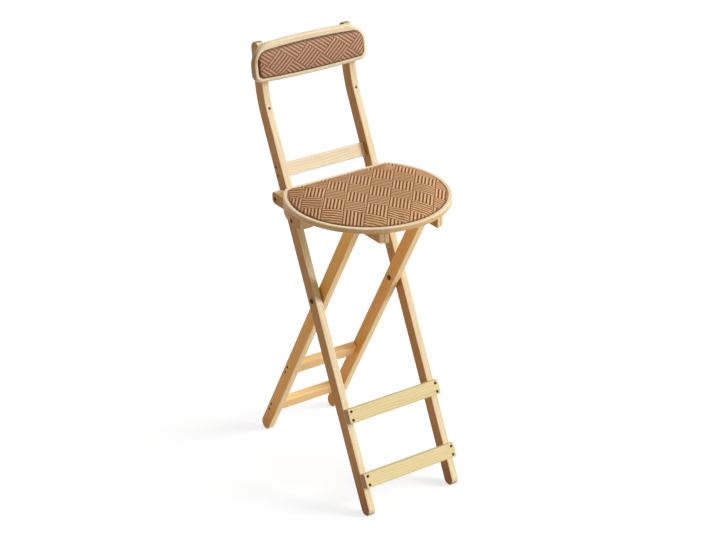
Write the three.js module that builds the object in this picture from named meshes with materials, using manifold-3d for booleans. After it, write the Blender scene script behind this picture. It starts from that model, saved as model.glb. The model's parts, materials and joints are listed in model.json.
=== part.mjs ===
// Folding bar stool of pale wood with a woven seat and backrest.
// Millimetres. X runs across the stool, Y from its front to its back, Z up.
// The long frame leans back from the front feet to the backrest. The rear frame crosses it and
// carries the seat. A link on each side locks the seat open and lets the stool fold flat.

import * as THREE from 'three';
import { mergeVertices } from 'three/addons/utils/BufferGeometryUtils.js';
import Module from 'manifold-3d';

const wasm = await Module();
wasm.setup();

const { degToRad } = THREE.MathUtils;

// Both frames
const frameWidth = 252;
const legThick = 18;
const legDepth = 32;
const edgeEase = 1.2;
const frameGap = 3;
const footFlat = 10;
const crossingHeight = 455;
const longLean = degToRad(25.73);
const rearLean = degToRad(29.12);

// The upper ends of the long legs, which bend forward to carry the backrest
const bendHeight = 875;
const bendRadius = 260;
const postLean = degToRad(8.7);
const postRise = 130;

// Seat board, a disc cut straight at the back that stands out past the links
const seatPastLink = 35.1;
const seatCentreY = -38.2;
const seatBackY = 89.3;
const seatCorner = 26;
const seatUnderside = 690.2;
const seatBoardThick = 12;
const seatRim = 9.5;
const seatPocketDepth = 4;

// Pivots of the fold, all on one line below the seat board
const legTopClearance = 0.8;
const linkInsideGap = 1.5;
const linkThick = 25;
const linkBelowPivot = 12;
const linkEndReach = 12;
const linkFrontFillet = 14;
const linkBackFillet = 8;
const blockGap = 1;

// Battens and side blocks under the seat board
const battenThick = 20.3;
const battenDepth = 24.2;
const battenGap = 2.3;
const battenBackBehindPivot = 33.6;
const battenFrontEase = 2;
const blockDepth = 24.2;
const blockLength = 112;
const blockEndThick = 5.6;
const blockInset = 0.6;

// Bars: tall is measured along the legs, thick through them. Their places are shares of the way
// from the crossing down to the feet, and up to the bend.
const footRestTall = 34;
const footRestThick = 18;
const upperRestShare = 0.5551;
const lowerRestShare = 0.8644;
const crossbarTall = 34;
const crossbarThick = 18;
const upperCrossbarShare = 0.5701;
const lowerCrossbarShare = 0.878;
const slatTall = 32;
const slatThick = 18;
const slatShare = 0.6456;

// Backrest panel. Its crown stands a little past the tops of the legs behind it.
const panelPastFrame = 24;
const panelPastPost = 1.9;
const panelTall = 92.9;
const panelCrownRadius = 1700;
const panelBowRadius = 2800;
const panelTopCorner = 50;
const panelBottomCorner = 20;
const panelThick = 16;
const panelEase = 2.6;
const panelPocketDepth = 5;
const panelSideRim = 9.5;
const panelTopRim = 14.4;
const insertTopCorner = 28;
const insertBottomCorner = 13;

// Pads in their pockets
const padClearance = 0.4;
const padTuck = 1.2;
const seatPadCrown = 8;
const seatPadReach = 112;
const panelPadCrown = 5.5;
const panelPadReach = 26;
const padLip = 1;

// Screws, bolts, washers and stop buttons
const screwHeadRadius = 3.4;
const screwHeadTall = 2.2;
const screwShankRadius = 1.9;
const screwRecess = 0.8;
const screwBite = 20;
const screwPitch = 20;
const panelScrewBite = 8;
const panelScrewShares = [0.2366, 0.6882];
const boltRadius = 4;
const boltHeadRadius = 6;
const boltHeadTall = 2.6;
const boltHeadCrown = 1;
const boltRecess = 1.2;
const boltSlack = 0.4;
const washerRadius = 10;
const buttonRadius = 3;
const buttonTall = 1.8;
const buttonUpBend = 14.7;

// Clearances between pieces, and the extra length of cutting shapes
const restGap = 0.3;
const holeSlack = 0.3;
const overrun = 4;

// Worked out from the sizes above
const legHalf = legDepth / 2;
const boltSunk = boltHeadTall + boltRecess;
const footCentreHeight = Math.sqrt(legHalf ** 2 - (footFlat / 2) ** 2);
const footDrop = crossingHeight - footCentreHeight;
const longLegX = (frameWidth - legThick) / 2;
const rearLegX = longLegX - legThick - frameGap;
const pivotHeight = seatUnderside - legTopClearance - legHalf;
const pivotRise = pivotHeight - crossingHeight;
const linkPivotY = pivotRise * Math.tan(longLean);
const rearPivotY = -pivotRise * Math.tan(rearLean);
const longArm = pivotRise / Math.cos(longLean);
const rearArm = pivotRise / Math.cos(rearLean);
// The frames fold flat on each other only if the two arms differ by what the links' arms do.
const linkArm = (linkPivotY - rearPivotY + rearArm - longArm) / 2;
const seatPivotY = linkPivotY - linkArm;
const seatTop = seatUnderside + seatBoardThick;
const linkInnerX = frameWidth / 2 + linkInsideGap;
const linkOuterX = linkInnerX + linkThick;
const seatRadius = linkOuterX + seatPastLink;
const blockInnerX = linkOuterX + blockGap;
const blockRadius = seatRadius - blockInset;
const blockBackY = seatCentreY + Math.sqrt(blockRadius ** 2 - (blockInnerX + blockEndThick) ** 2);
const blockFrontY = blockBackY - blockLength;
const battenOuterX = rearLegX - legThick / 2 - battenGap;
const frontFootReach = footDrop * Math.tan(longLean) + legHalf;
const rearFootReach = footDrop * Math.tan(rearLean) + legHalf;
const footprintMiddleY = (rearFootReach - frontFootReach) / 2;

const bendTurn = longLean - postLean;
const bendCorner = (bendHeight - crossingHeight) / Math.cos(longLean);
const bendStart = bendCorner - bendRadius * Math.tan(bendTurn / 2);
const slatRise = slatShare * bendCorner;
const footRestDrops = dropsOf({ upper: upperRestShare, lower: lowerRestShare }, longLean);
const crossbarDrops = dropsOf({ upper: upperCrossbarShare, lower: lowerCrossbarShare }, rearLean);
const postTop = bendHeight + postRise;
const panelHalfWidth = frameWidth / 2 + panelPastFrame;
const panelCrown = postRise / Math.cos(postLean) + panelPastPost;
const panelBottom = panelCrown - panelTall;

const honeyWood = new THREE.MeshStandardMaterial({ color: 0xdfba87, roughness: 0.5, metalness: 0 });
const creamWood = new THREE.MeshStandardMaterial({ color: 0xe6c794, roughness: 0.5, metalness: 0 });
const wovenCloth = new THREE.MeshStandardMaterial({ color: 0xc99b74, roughness: 0.9, metalness: 0 });
const darkSteel = new THREE.MeshStandardMaterial({ color: 0x4b4038, roughness: 0.45, metalness: 0.9 });
const blackRubber = new THREE.MeshStandardMaterial({ color: 0x3a3430, roughness: 0.85, metalness: 0 });

const sides = [
  { word: 'left', sign: -1 },
  { word: 'right', sign: 1 },
];

const acrossX = new THREE.Vector3(1, 0, 0);
const backY = new THREE.Vector3(0, 1, 0);
const frontY = new THREE.Vector3(0, -1, 0);
const upZ = new THREE.Vector3(0, 0, 1);

// Distances down a frame's legs from the crossing, from shares of the way to the feet
function dropsOf(shares, lean) {
  const reach = footDrop / Math.cos(lean);
  return Object.fromEntries(Object.entries(shares).map(([word, share]) => [word, share * reach]));
}

// Closed geometry with shared corners, no flat triangles and its faces pointing out
function weld(geometry) {
  const bare = geometry.clone();
  for (const attribute of ['normal', 'uv']) {
    bare.deleteAttribute(attribute);
  }
  const merged = mergeVertices(bare);
  const corners = merged.index.array;
  const kept = [];
  for (let i = 0; i < corners.length; i += 3) {
    const [a, b, c] = [corners[i], corners[i + 1], corners[i + 2]];
    if (a !== b && b !== c && c !== a) {
      kept.push(a, b, c);
    }
  }
  merged.setIndex(kept);
  if (signedVolume(merged) < 0) {
    merged.setIndex(kept.reverse());
  }
  return merged;
}

function signedVolume(geometry) {
  const position = geometry.attributes.position;
  const index = geometry.index.array;
  const [a, b, c] = [new THREE.Vector3(), new THREE.Vector3(), new THREE.Vector3()];
  let total = 0;
  for (let i = 0; i < index.length; i += 3) {
    a.fromBufferAttribute(position, index[i]);
    b.fromBufferAttribute(position, index[i + 1]);
    c.fromBufferAttribute(position, index[i + 2]);
    total += a.dot(b.cross(c));
  }
  return total / 6;
}

function toSolid(geometry) {
  const welded = weld(geometry);
  return new wasm.Manifold(new wasm.Mesh({
    numProp: 3,
    vertProperties: Float32Array.from(welded.attributes.position.array),
    triVerts: Uint32Array.from(welded.index.array),
  }));
}

function cut(geometry, cutters) {
  let solid = toSolid(geometry);
  for (const cutter of cutters) {
    solid = solid.subtract(toSolid(cutter));
  }
  const mesh = solid.getMesh();
  const result = new THREE.BufferGeometry();
  result.setAttribute('position', new THREE.BufferAttribute(mesh.vertProperties, 3));
  result.setIndex(new THREE.BufferAttribute(mesh.triVerts, 1));
  return result;
}

function piece(name, geometry, material) {
  const shape = weld(geometry);
  shape.computeVertexNormals();
  const mesh = new THREE.Mesh(shape, material);
  mesh.name = name;
  return mesh;
}

function arcPoints(centreX, centreY, radius, from, to, steps) {
  const points = [];
  for (let i = 0; i <= steps; i += 1) {
    const angle = from + ((to - from) * i) / steps;
    points.push(new THREE.Vector2(centreX + radius * Math.cos(angle), centreY + radius * Math.sin(angle)));
  }
  return points;
}

function extrude(outline, thick, ease, easeSteps = 1) {
  const geometry = new THREE.ExtrudeGeometry(new THREE.Shape(outline), {
    depth: thick - 2 * ease,
    steps: 1,
    bevelEnabled: ease > 0,
    bevelSize: ease,
    bevelThickness: ease,
    bevelOffset: -ease,
    bevelSegments: easeSteps,
  });
  geometry.translate(0, 0, ease);
  return geometry;
}

// An outline drawn in Y and Z, spread across X about the plane X = middleX
function extrudeAcross(outline, thick, middleX, ease = edgeEase) {
  const geometry = extrude(outline, thick, ease);
  geometry.applyMatrix4(new THREE.Matrix4().makeBasis(backY, upZ, acrossX));
  geometry.translate(middleX - thick / 2, 0, 0);
  return geometry;
}

// An outline drawn in X and Z that grows towards the front from the plane Y = backPlaneY
function extrudeForward(outline, thick, backPlaneY, ease, easeSteps) {
  const geometry = extrude(outline, thick, ease, easeSteps);
  geometry.applyMatrix4(new THREE.Matrix4().makeBasis(acrossX, upZ, frontY));
  geometry.translate(0, backPlaneY, 0);
  return geometry;
}

function rectangle(lowX, highX, lowY, highY) {
  return [
    new THREE.Vector2(lowX, lowY),
    new THREE.Vector2(highX, lowY),
    new THREE.Vector2(highX, highY),
    new THREE.Vector2(lowX, highY),
  ];
}

// A turned shape from [radius, height] pairs, with height zero at the origin point
function turned(profile, origin, direction, segments) {
  const points = profile.map(([radius, height]) => new THREE.Vector2(radius, height));
  const geometry = new THREE.LatheGeometry(points, segments);
  geometry.applyQuaternion(new THREE.Quaternion().setFromUnitVectors(backY, direction));
  geometry.translate(origin.x, origin.y, origin.z);
  return geometry;
}

const screwSegments = 10;
const boltSegments = 16;

function screwGeometry(origin, direction, length) {
  const headBase = -screwRecess - screwHeadTall;
  const profile = [
    [0, -screwRecess],
    [screwHeadRadius, -screwRecess],
    [screwHeadRadius, headBase],
    [screwShankRadius, headBase],
    [screwShankRadius, screwShankRadius - length],
    [0, -length],
  ];
  return turned(profile, origin, direction, screwSegments);
}

function screwHole(origin, direction, length) {
  const headBase = -screwRecess - screwHeadTall - holeSlack;
  const profile = [
    [0, overrun],
    [screwHeadRadius + holeSlack, overrun],
    [screwHeadRadius + holeSlack, headBase],
    [screwShankRadius + holeSlack, headBase],
    [screwShankRadius + holeSlack, -length - holeSlack],
    [0, -length - holeSlack],
  ];
  return turned(profile, origin, direction, screwSegments);
}

// A bolt with a domed head whose underside is at height zero, and a tail of its own radius and length
function boltGeometry(origin, direction, reach, tailRadius, tailTall) {
  const profile = [
    [0, boltHeadTall],
    [boltHeadRadius - boltHeadCrown, boltHeadTall],
    [boltHeadRadius, boltHeadTall - boltHeadCrown],
    [boltHeadRadius, 0],
    [boltRadius, 0],
    [boltRadius, -reach],
    [tailRadius, -reach],
    [tailRadius, -reach - tailTall],
    [0, -reach - tailTall],
  ];
  return turned(profile, origin, direction, boltSegments);
}

function boltHole(origin, direction, reach) {
  const radius = boltRadius + boltSlack;
  const profile = [[0, overrun], [radius, overrun], [radius, -reach], [0, -reach]];
  return turned(profile, origin, direction, boltSegments);
}

function counterbore(origin, direction, depth) {
  const radius = boltHeadRadius + boltSlack;
  const profile = [[0, overrun], [radius, overrun], [radius, -depth], [0, -depth]];
  return turned(profile, origin, direction, boltSegments);
}

function washerGeometry(origin, direction, thick) {
  const bore = boltRadius + boltSlack;
  const profile = [[bore, 0], [washerRadius, 0], [washerRadius, thick], [bore, thick], [bore, 0]];
  return turned(profile, origin, direction, boltSegments);
}

// Legs. Each frame has its own space: Z runs up its legs from the crossing and Y is square to them.
const arcSteps = 8;

function footPoints(lean) {
  const centreZ = -footDrop / Math.cos(lean);
  const down = lean - Math.PI / 2;
  const flatHalfAngle = Math.asin(footFlat / 2 / legHalf);
  return [
    ...arcPoints(0, centreZ, legHalf, -Math.PI, down - flatHalfAngle, arcSteps),
    ...arcPoints(0, centreZ, legHalf, down + flatHalfAngle, 0, arcSteps),
  ];
}

function bendEnd() {
  return new THREE.Vector2(
    bendRadius * (Math.cos(bendTurn) - 1),
    bendStart + bendRadius * Math.sin(bendTurn),
  );
}

function longLegOutline() {
  const end = bendEnd();
  const endHeight = crossingHeight + end.y * Math.cos(longLean) - end.x * Math.sin(longLean);
  const straight = (postTop - legHalf - endHeight) / Math.cos(postLean);
  const topX = end.x - straight * Math.sin(bendTurn);
  const topY = end.y + straight * Math.cos(bendTurn);
  return [
    ...footPoints(longLean),
    ...arcPoints(-bendRadius, bendStart, bendRadius + legHalf, 0, bendTurn, arcSteps),
    ...arcPoints(topX, topY, legHalf, bendTurn, bendTurn + Math.PI, 2 * arcSteps),
    ...arcPoints(-bendRadius, bendStart, bendRadius - legHalf, bendTurn, 0, arcSteps),
  ];
}

function rearLegOutline() {
  return [...footPoints(-rearLean), ...arcPoints(0, rearArm, legHalf, 0, Math.PI, 2 * arcSteps)];
}

// Two screw places per bar end, one above the other along the leg
function screwHeights(middle) {
  return [middle + screwPitch / 2, middle - screwPitch / 2];
}

// Screws through the outer face of a leg into the end of a bar
function sideScrews(legX, barY, middle, sign) {
  const direction = acrossX.clone().multiplyScalar(sign);
  return screwHeights(middle).map((height) => ({
    origin: new THREE.Vector3(sign * (legX + legThick / 2), barY, height),
    direction,
    length: legThick + screwBite,
  }));
}

// Screws through the front of a foot rest into the long leg behind it
function footRestScrews(drop, sign) {
  return screwHeights(-drop).map((height) => ({
    origin: new THREE.Vector3(sign * longLegX, -legHalf - restGap - footRestThick, height),
    direction: frontY,
    length: footRestThick + screwBite,
  }));
}

// The frame of the bent leg ends, in the long frame's space
const postMatrix = new THREE.Matrix4()
  .makeRotationX(bendTurn)
  .setPosition(0, 0, bendCorner);

function panelScrews(sign) {
  return panelScrewShares.map((share) => ({
    origin: new THREE.Vector3(sign * longLegX, legHalf, panelBottom + share * panelTall),
    direction: backY,
    length: legDepth + restGap + panelScrewBite,
  }));
}

const holesOf = (screws) => screws.map((s) => screwHole(s.origin, s.direction, s.length));

function addScrews(group, name, screws) {
  screws.forEach((screw, i) => {
    const shape = screwGeometry(screw.origin, screw.direction, screw.length);
    group.add(piece(`${name}_${i + 1}`, shape, darkSteel));
  });
}

const slatY = legHalf - slatThick / 2;
const crossbarY = legHalf - crossbarThick / 2;
const crossingPoint = (sign) => new THREE.Vector3(sign * (frameWidth / 2 + restGap), 0, 0);

function longLeg({ word, sign }) {
  const outward = acrossX.clone().multiplyScalar(sign);
  const cutters = [
    boltHole(crossingPoint(sign), outward, legThick + 2 * overrun),
    ...holesOf(sideScrews(longLegX, slatY, slatRise, sign)),
    ...holesOf(footRestScrews(footRestDrops.upper, sign)),
    ...holesOf(footRestScrews(footRestDrops.lower, sign)),
    ...holesOf(panelScrews(sign)).map((hole) => hole.applyMatrix4(postMatrix)),
  ];
  const blank = extrudeAcross(longLegOutline(), legThick, sign * longLegX);
  return piece(`long_leg_${word}`, cut(blank, cutters), honeyWood);
}

function footRest(word, drop) {
  const back = -legHalf - restGap;
  const outline = rectangle(
    back - footRestThick,
    back,
    -drop - footRestTall / 2,
    -drop + footRestTall / 2,
  );
  const holes = sides.flatMap(({ sign }) => holesOf(footRestScrews(drop, sign)));
  return piece(`foot_rest_${word}`, cut(extrudeAcross(outline, frameWidth, 0), holes), creamWood);
}

function backSlat() {
  const outline = rectangle(
    legHalf - slatThick,
    legHalf,
    slatRise - slatTall / 2,
    slatRise + slatTall / 2,
  );
  const length = frameWidth - 2 * legThick - 2 * restGap;
  const holes = sides.flatMap(({ sign }) => holesOf(sideScrews(longLegX, slatY, slatRise, sign)));
  return piece('back_slat', cut(extrudeAcross(outline, length, 0), holes), creamWood);
}

// A button on the front face of the bend, where the folded seat's back edge comes to rest
function stopButton({ word, sign }) {
  const faceRadius = bendRadius - legHalf;
  const angle = buttonUpBend / faceRadius;
  const inward = new THREE.Vector3(0, -Math.cos(angle), -Math.sin(angle));
  const origin = new THREE.Vector3(sign * longLegX, -bendRadius, bendStart);
  origin.addScaledVector(inward, restGap - faceRadius);
  const profile = [
    [0, buttonTall],
    [buttonRadius / 2, buttonTall],
    [buttonRadius, buttonTall / 2],
    [buttonRadius, 0],
    [0, 0],
  ];
  return piece(`stop_button_${word}`, turned(profile, origin, inward, screwSegments), blackRubber);
}

// The crossing bolt runs through the long leg and the rear leg inside it
function crossingBolt({ word, sign }) {
  const outward = acrossX.clone().multiplyScalar(sign);
  const reach = 2 * restGap + 2 * legThick + frameGap;
  const shape = boltGeometry(crossingPoint(sign), outward, reach, boltHeadRadius, boltHeadTall);
  return piece(`crossing_bolt_${word}`, shape, darkSteel);
}

// Backrest: a panel with an arched top and a bowed lower edge, in the space of the bent leg ends
function panelOutline(size, inset) {
  const half = size.half - inset;
  const bowRadius = panelBowRadius - inset;
  const bowCentre = size.bottom + panelBowRadius;
  const crownRadius = panelCrownRadius - inset;
  const crownCentre = size.crown - panelCrownRadius;
  const top = Math.max(size.topCorner - inset, edgeEase);
  const low = Math.max(size.bottomCorner - inset, edgeEase);
  const topX = half - top;
  const topZ = crownCentre + Math.sqrt((crownRadius - top) ** 2 - topX ** 2);
  const shoulder = Math.atan2(topZ - crownCentre, topX);
  const lowX = half - low;
  const lowZ = bowCentre - Math.sqrt((bowRadius - low) ** 2 - lowX ** 2);
  const bowRight = Math.atan2(lowZ - bowCentre, lowX);
  const bowLeft = -Math.PI - bowRight;
  return [
    ...arcPoints(-lowX, lowZ, low, -Math.PI, bowLeft, arcSteps),
    ...arcPoints(0, bowCentre, bowRadius, bowLeft, bowRight, 2 * arcSteps).slice(1, -1),
    ...arcPoints(lowX, lowZ, low, bowRight, 0, arcSteps),
    ...arcPoints(topX, topZ, top, 0, shoulder, arcSteps),
    ...arcPoints(0, crownCentre, crownRadius, shoulder, Math.PI - shoulder, 2 * arcSteps).slice(1, -1),
    ...arcPoints(-topX, topZ, top, Math.PI - shoulder, Math.PI, arcSteps),
  ];
}

const panelSize = {
  half: panelHalfWidth,
  bottom: panelBottom,
  crown: panelCrown,
  topCorner: panelTopCorner,
  bottomCorner: panelBottomCorner,
};
const insertSize = {
  half: panelHalfWidth - panelSideRim,
  bottom: panelBottom + panelSideRim,
  crown: panelCrown - panelTopRim,
  topCorner: insertTopCorner,
  bottomCorner: insertBottomCorner,
};
const panelBackY = -legHalf - restGap;
const panelFrontY = panelBackY - panelThick;
const panelPocketY = panelFrontY + panelPocketDepth;

function backrestBoard() {
  const board = extrudeForward(panelOutline(panelSize, 0), panelThick, panelBackY, panelEase, 2);
  const pocket = extrudeForward(panelOutline(insertSize, 0), panelPocketDepth + overrun, panelPocketY, 0);
  const holes = sides.flatMap(({ sign }) => holesOf(panelScrews(sign)));
  return piece('backrest_board', cut(board, [pocket, ...holes]), creamWood);
}

// Rings of a pad: a tucked lower edge, the widest line, and a crown that rises with the inset
const crownSteps = 7;
const crownSpreadShare = 1.8;

function padRings(outlineAt, sideTall, crown, reach) {
  const rings = [
    { outline: outlineAt(padTuck), height: 0 },
    { outline: outlineAt(0), height: sideTall / 2 },
  ];
  for (let i = 0; i <= crownSteps; i += 1) {
    const share = i / crownSteps;
    const height = sideTall + crown * (1 - (1 - share) ** 2);
    rings.push({ outline: outlineAt(reach * share ** crownSpreadShare), height });
  }
  return rings;
}

// Closes rings of equal count into one skin, with a middle point at each end
function skin(rings) {
  const count = rings[0].outline.length;
  const positions = [];
  for (const { outline, height } of rings) {
    for (const point of outline) {
      positions.push(point.x, point.y, height);
    }
  }
  for (const { outline, height } of [rings[0], rings[rings.length - 1]]) {
    const middle = outline.reduce((sum, point) => sum.add(point), new THREE.Vector2()).divideScalar(count);
    positions.push(middle.x, middle.y, height);
  }
  const bottomMiddle = rings.length * count;
  const topStart = (rings.length - 1) * count;
  const index = [];
  for (let i = 0; i < count; i += 1) {
    const next = (i + 1) % count;
    index.push(bottomMiddle, next, i);
    index.push(bottomMiddle + 1, topStart + i, topStart + next);
    for (let ring = 0; ring < rings.length - 1; ring += 1) {
      const low = ring * count;
      const high = low + count;
      index.push(low + i, low + next, high + next);
      index.push(low + i, high + next, high + i);
    }
  }
  const geometry = new THREE.BufferGeometry();
  geometry.setAttribute('position', new THREE.Float32BufferAttribute(positions, 3));
  geometry.setIndex(index);
  return geometry;
}

function backrestPad() {
  const sideTall = panelPocketDepth - restGap + padLip;
  const outlineAt = (inset) => panelOutline(insertSize, padClearance + inset);
  const geometry = skin(padRings(outlineAt, sideTall, panelPadCrown, panelPadReach));
  geometry.applyMatrix4(new THREE.Matrix4().makeBasis(acrossX, upZ, frontY));
  geometry.translate(0, panelPocketY - restGap, 0);
  return piece('backrest_pad', geometry, wovenCloth);
}

function longFrame() {
  const group = new THREE.Group();
  group.position.set(0, 0, crossingHeight);
  group.rotation.x = -longLean;
  for (const side of sides) {
    group.add(longLeg(side), stopButton(side), crossingBolt(side));
    const slatScrews = sideScrews(longLegX, slatY, slatRise, side.sign);
    addScrews(group, `back_slat_screw_${side.word}`, slatScrews);
    for (const [word, drop] of Object.entries(footRestDrops)) {
      addScrews(group, `foot_rest_screw_${word}_${side.word}`, footRestScrews(drop, side.sign));
    }
  }
  for (const [word, drop] of Object.entries(footRestDrops)) {
    group.add(footRest(word, drop));
  }
  group.add(backSlat(), backrest());
  return group;
}

function backrest() {
  const group = new THREE.Group();
  group.position.set(0, 0, bendCorner);
  group.rotation.x = bendTurn;
  group.add(backrestBoard(), backrestPad());
  for (const { word, sign } of sides) {
    addScrews(group, `backrest_screw_${word}`, panelScrews(sign));
  }
  return group;
}

// Rear frame
const seatPivotPoint = (sign) => new THREE.Vector3(sign * (rearLegX + legThick / 2), 0, rearArm);

function rearLeg({ word, sign }) {
  const outward = acrossX.clone().multiplyScalar(sign);
  const inner = crossingPoint(sign).setX(sign * (rearLegX + legThick / 2));
  const cutters = [
    boltHole(inner, outward, legThick + overrun),
    boltHole(seatPivotPoint(sign), outward, legThick + overrun),
    counterbore(seatPivotPoint(sign), outward, boltSunk),
  ];
  for (const drop of Object.values(crossbarDrops)) {
    cutters.push(...holesOf(sideScrews(rearLegX, crossbarY, -drop, sign)));
  }
  const blank = extrudeAcross(rearLegOutline(), legThick, sign * rearLegX);
  return piece(`rear_leg_${word}`, cut(blank, cutters), honeyWood);
}

function rearCrossbar(word, drop) {
  const outline = rectangle(
    legHalf - crossbarThick,
    legHalf,
    -drop - crossbarTall / 2,
    -drop + crossbarTall / 2,
  );
  const length = 2 * (rearLegX - legThick / 2 - restGap);
  const holes = sides.flatMap(({ sign }) => holesOf(sideScrews(rearLegX, crossbarY, -drop, sign)));
  return piece(`rear_crossbar_${word}`, cut(extrudeAcross(outline, length, 0), holes), creamWood);
}

function crossingWasher({ word, sign }) {
  const outward = acrossX.clone().multiplyScalar(sign);
  const origin = new THREE.Vector3(sign * (rearLegX + legThick / 2 + restGap), 0, 0);
  const shape = washerGeometry(origin, outward, frameGap - 2 * restGap);
  return piece(`crossing_washer_${word}`, shape, darkSteel);
}

// The seat bolt's head is sunk into the rear leg, and its tail is the nut inside the batten
function seatBolt({ word, sign }) {
  const outward = acrossX.clone().multiplyScalar(sign);
  const sunk = boltSunk - restGap;
  const origin = seatPivotPoint(sign).setX(sign * (rearLegX + legThick / 2 - sunk));
  const reach = legThick - sunk + battenGap + battenThick + restGap;
  const shape = boltGeometry(origin, outward, reach, boltHeadRadius, boltHeadTall);
  return piece(`seat_bolt_${word}`, shape, darkSteel);
}

function rearFrame() {
  const group = new THREE.Group();
  group.position.set(0, 0, crossingHeight);
  group.rotation.x = rearLean;
  for (const side of sides) {
    group.add(rearLeg(side), crossingWasher(side), seatBolt(side));
    for (const [word, drop] of Object.entries(crossbarDrops)) {
      const screws = sideScrews(rearLegX, crossbarY, -drop, side.sign);
      addScrews(group, `crossbar_screw_${word}_${side.word}`, screws);
    }
  }
  for (const [word, drop] of Object.entries(crossbarDrops)) {
    group.add(rearCrossbar(word, drop));
  }
  return group;
}

// Seat
const seatArcSteps = 44;
const seatCornerSteps = 4;

// A disc cut straight at the back, with its corners rounded
function seatOutline(inset) {
  const radius = seatRadius - inset;
  const corner = Math.max(seatCorner - inset, edgeEase);
  const cornerY = seatBackY - inset - corner;
  const cornerX = Math.sqrt((radius - corner) ** 2 - (cornerY - seatCentreY) ** 2);
  const turn = Math.atan2(cornerY - seatCentreY, cornerX);
  return [
    ...arcPoints(0, seatCentreY, radius, -Math.PI - turn, turn, seatArcSteps),
    ...arcPoints(cornerX, cornerY, corner, turn, Math.PI / 2, seatCornerSteps).slice(1),
    ...arcPoints(-cornerX, cornerY, corner, Math.PI / 2, Math.PI - turn, seatCornerSteps).slice(0, -1),
  ];
}

function seatBoard() {
  const board = extrude(seatOutline(0), seatBoardThick, edgeEase);
  const pocket = extrude(seatOutline(seatRim), seatPocketDepth + overrun, 0);
  pocket.translate(0, 0, seatBoardThick - seatPocketDepth);
  const geometry = cut(board, [pocket]);
  geometry.translate(0, 0, seatUnderside);
  return piece('seat_board', geometry, creamWood);
}

function seatPad() {
  const sideTall = seatPocketDepth - restGap + padLip;
  const outlineAt = (inset) => seatOutline(seatRim + padClearance + inset);
  const geometry = skin(padRings(outlineAt, sideTall, seatPadCrown, seatPadReach));
  geometry.translate(0, 0, seatTop - seatPocketDepth + restGap);
  return piece('seat_pad', geometry, wovenCloth);
}

// A batten carries the rear leg's bolt. Its front end follows the seat's round edge.
function seatBatten({ word, sign }) {
  const outward = acrossX.clone().multiplyScalar(sign);
  const innerX = battenOuterX - battenThick;
  const frontAt = (x) => seatCentreY - Math.sqrt((seatRadius - battenFrontEase) ** 2 - x ** 2);
  const outline = [
    new THREE.Vector2(sign * innerX, frontAt(innerX)),
    new THREE.Vector2(sign * battenOuterX, frontAt(battenOuterX)),
    new THREE.Vector2(sign * battenOuterX, rearPivotY + battenBackBehindPivot),
    new THREE.Vector2(sign * innerX, rearPivotY + battenBackBehindPivot),
  ];
  const blank = extrude(outline, battenDepth, edgeEase);
  blank.translate(0, 0, seatUnderside - restGap - battenDepth);
  const face = new THREE.Vector3(sign * battenOuterX, rearPivotY, pivotHeight);
  const hole = boltHole(face, outward, battenThick + overrun);
  return piece(`seat_batten_${word}`, cut(blank, [hole]), honeyWood);
}

// A washer keeps the batten off the rear leg
function battenWasher({ word, sign }) {
  const outward = acrossX.clone().multiplyScalar(sign);
  const origin = new THREE.Vector3(sign * (battenOuterX + restGap), rearPivotY, pivotHeight);
  const shape = washerGeometry(origin, outward, battenGap - 2 * restGap);
  return piece(`batten_washer_${word}`, shape, darkSteel);
}

// A side block fills the space between the link and the seat's round edge
const blockSteps = 10;
const blockOuterAt = (y) => Math.sqrt(blockRadius ** 2 - (y - seatCentreY) ** 2);
const linkBoltOuterX = blockOuterAt(seatPivotY) - boltSunk;

function sideBlock({ word, sign }) {
  const outward = acrossX.clone().multiplyScalar(sign);
  const outline = [
    new THREE.Vector2(sign * blockInnerX, blockBackY),
    new THREE.Vector2(sign * blockInnerX, blockFrontY),
  ];
  for (let i = 0; i <= blockSteps; i += 1) {
    const y = blockFrontY + ((blockBackY - blockFrontY) * i) / blockSteps;
    outline.push(new THREE.Vector2(sign * blockOuterAt(y), y));
  }
  const blank = extrude(outline, blockDepth, edgeEase);
  blank.translate(0, 0, seatUnderside - restGap - blockDepth);
  const face = new THREE.Vector3(sign * blockOuterAt(seatPivotY), seatPivotY, pivotHeight);
  const cutters = [
    counterbore(face, outward, boltSunk + restGap),
    boltHole(face, outward, blockOuterAt(seatPivotY) - blockInnerX + overrun),
  ];
  return piece(`side_block_${word}`, cut(blank, cutters), honeyWood);
}

// The link bolt turns in the link. It ends inside the link, just short of the leg.
function linkBolt({ word, sign }) {
  const outward = acrossX.clone().multiplyScalar(sign);
  const origin = new THREE.Vector3(sign * linkBoltOuterX, seatPivotY, pivotHeight);
  const reach = linkBoltOuterX - linkInnerX - restGap;
  return piece(`link_bolt_${word}`, boltGeometry(origin, outward, reach, boltRadius, 0), darkSteel);
}

function seat() {
  const group = new THREE.Group();
  group.add(seatBoard(), seatPad());
  for (const side of sides) {
    group.add(seatBatten(side), battenWasher(side), sideBlock(side), linkBolt(side));
  }
  return group;
}

// Links
function linkOutline() {
  const top = seatUnderside - restGap;
  const frontY0 = seatPivotY - linkEndReach;
  const backY0 = linkPivotY + linkEndReach;
  return [
    ...arcPoints(seatPivotY, pivotHeight, linkBelowPivot, -Math.PI, -Math.PI / 2, arcSteps),
    ...arcPoints(linkPivotY, pivotHeight, linkBelowPivot, -Math.PI / 2, 0, arcSteps),
    ...arcPoints(backY0 - linkBackFillet, top - linkBackFillet, linkBackFillet, 0, Math.PI / 2, arcSteps),
    ...arcPoints(
      frontY0 + linkFrontFillet,
      top - linkFrontFillet,
      linkFrontFillet,
      Math.PI / 2,
      Math.PI,
      arcSteps,
    ),
  ];
}

const legBoltOuterX = linkOuterX - boltSunk;

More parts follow.
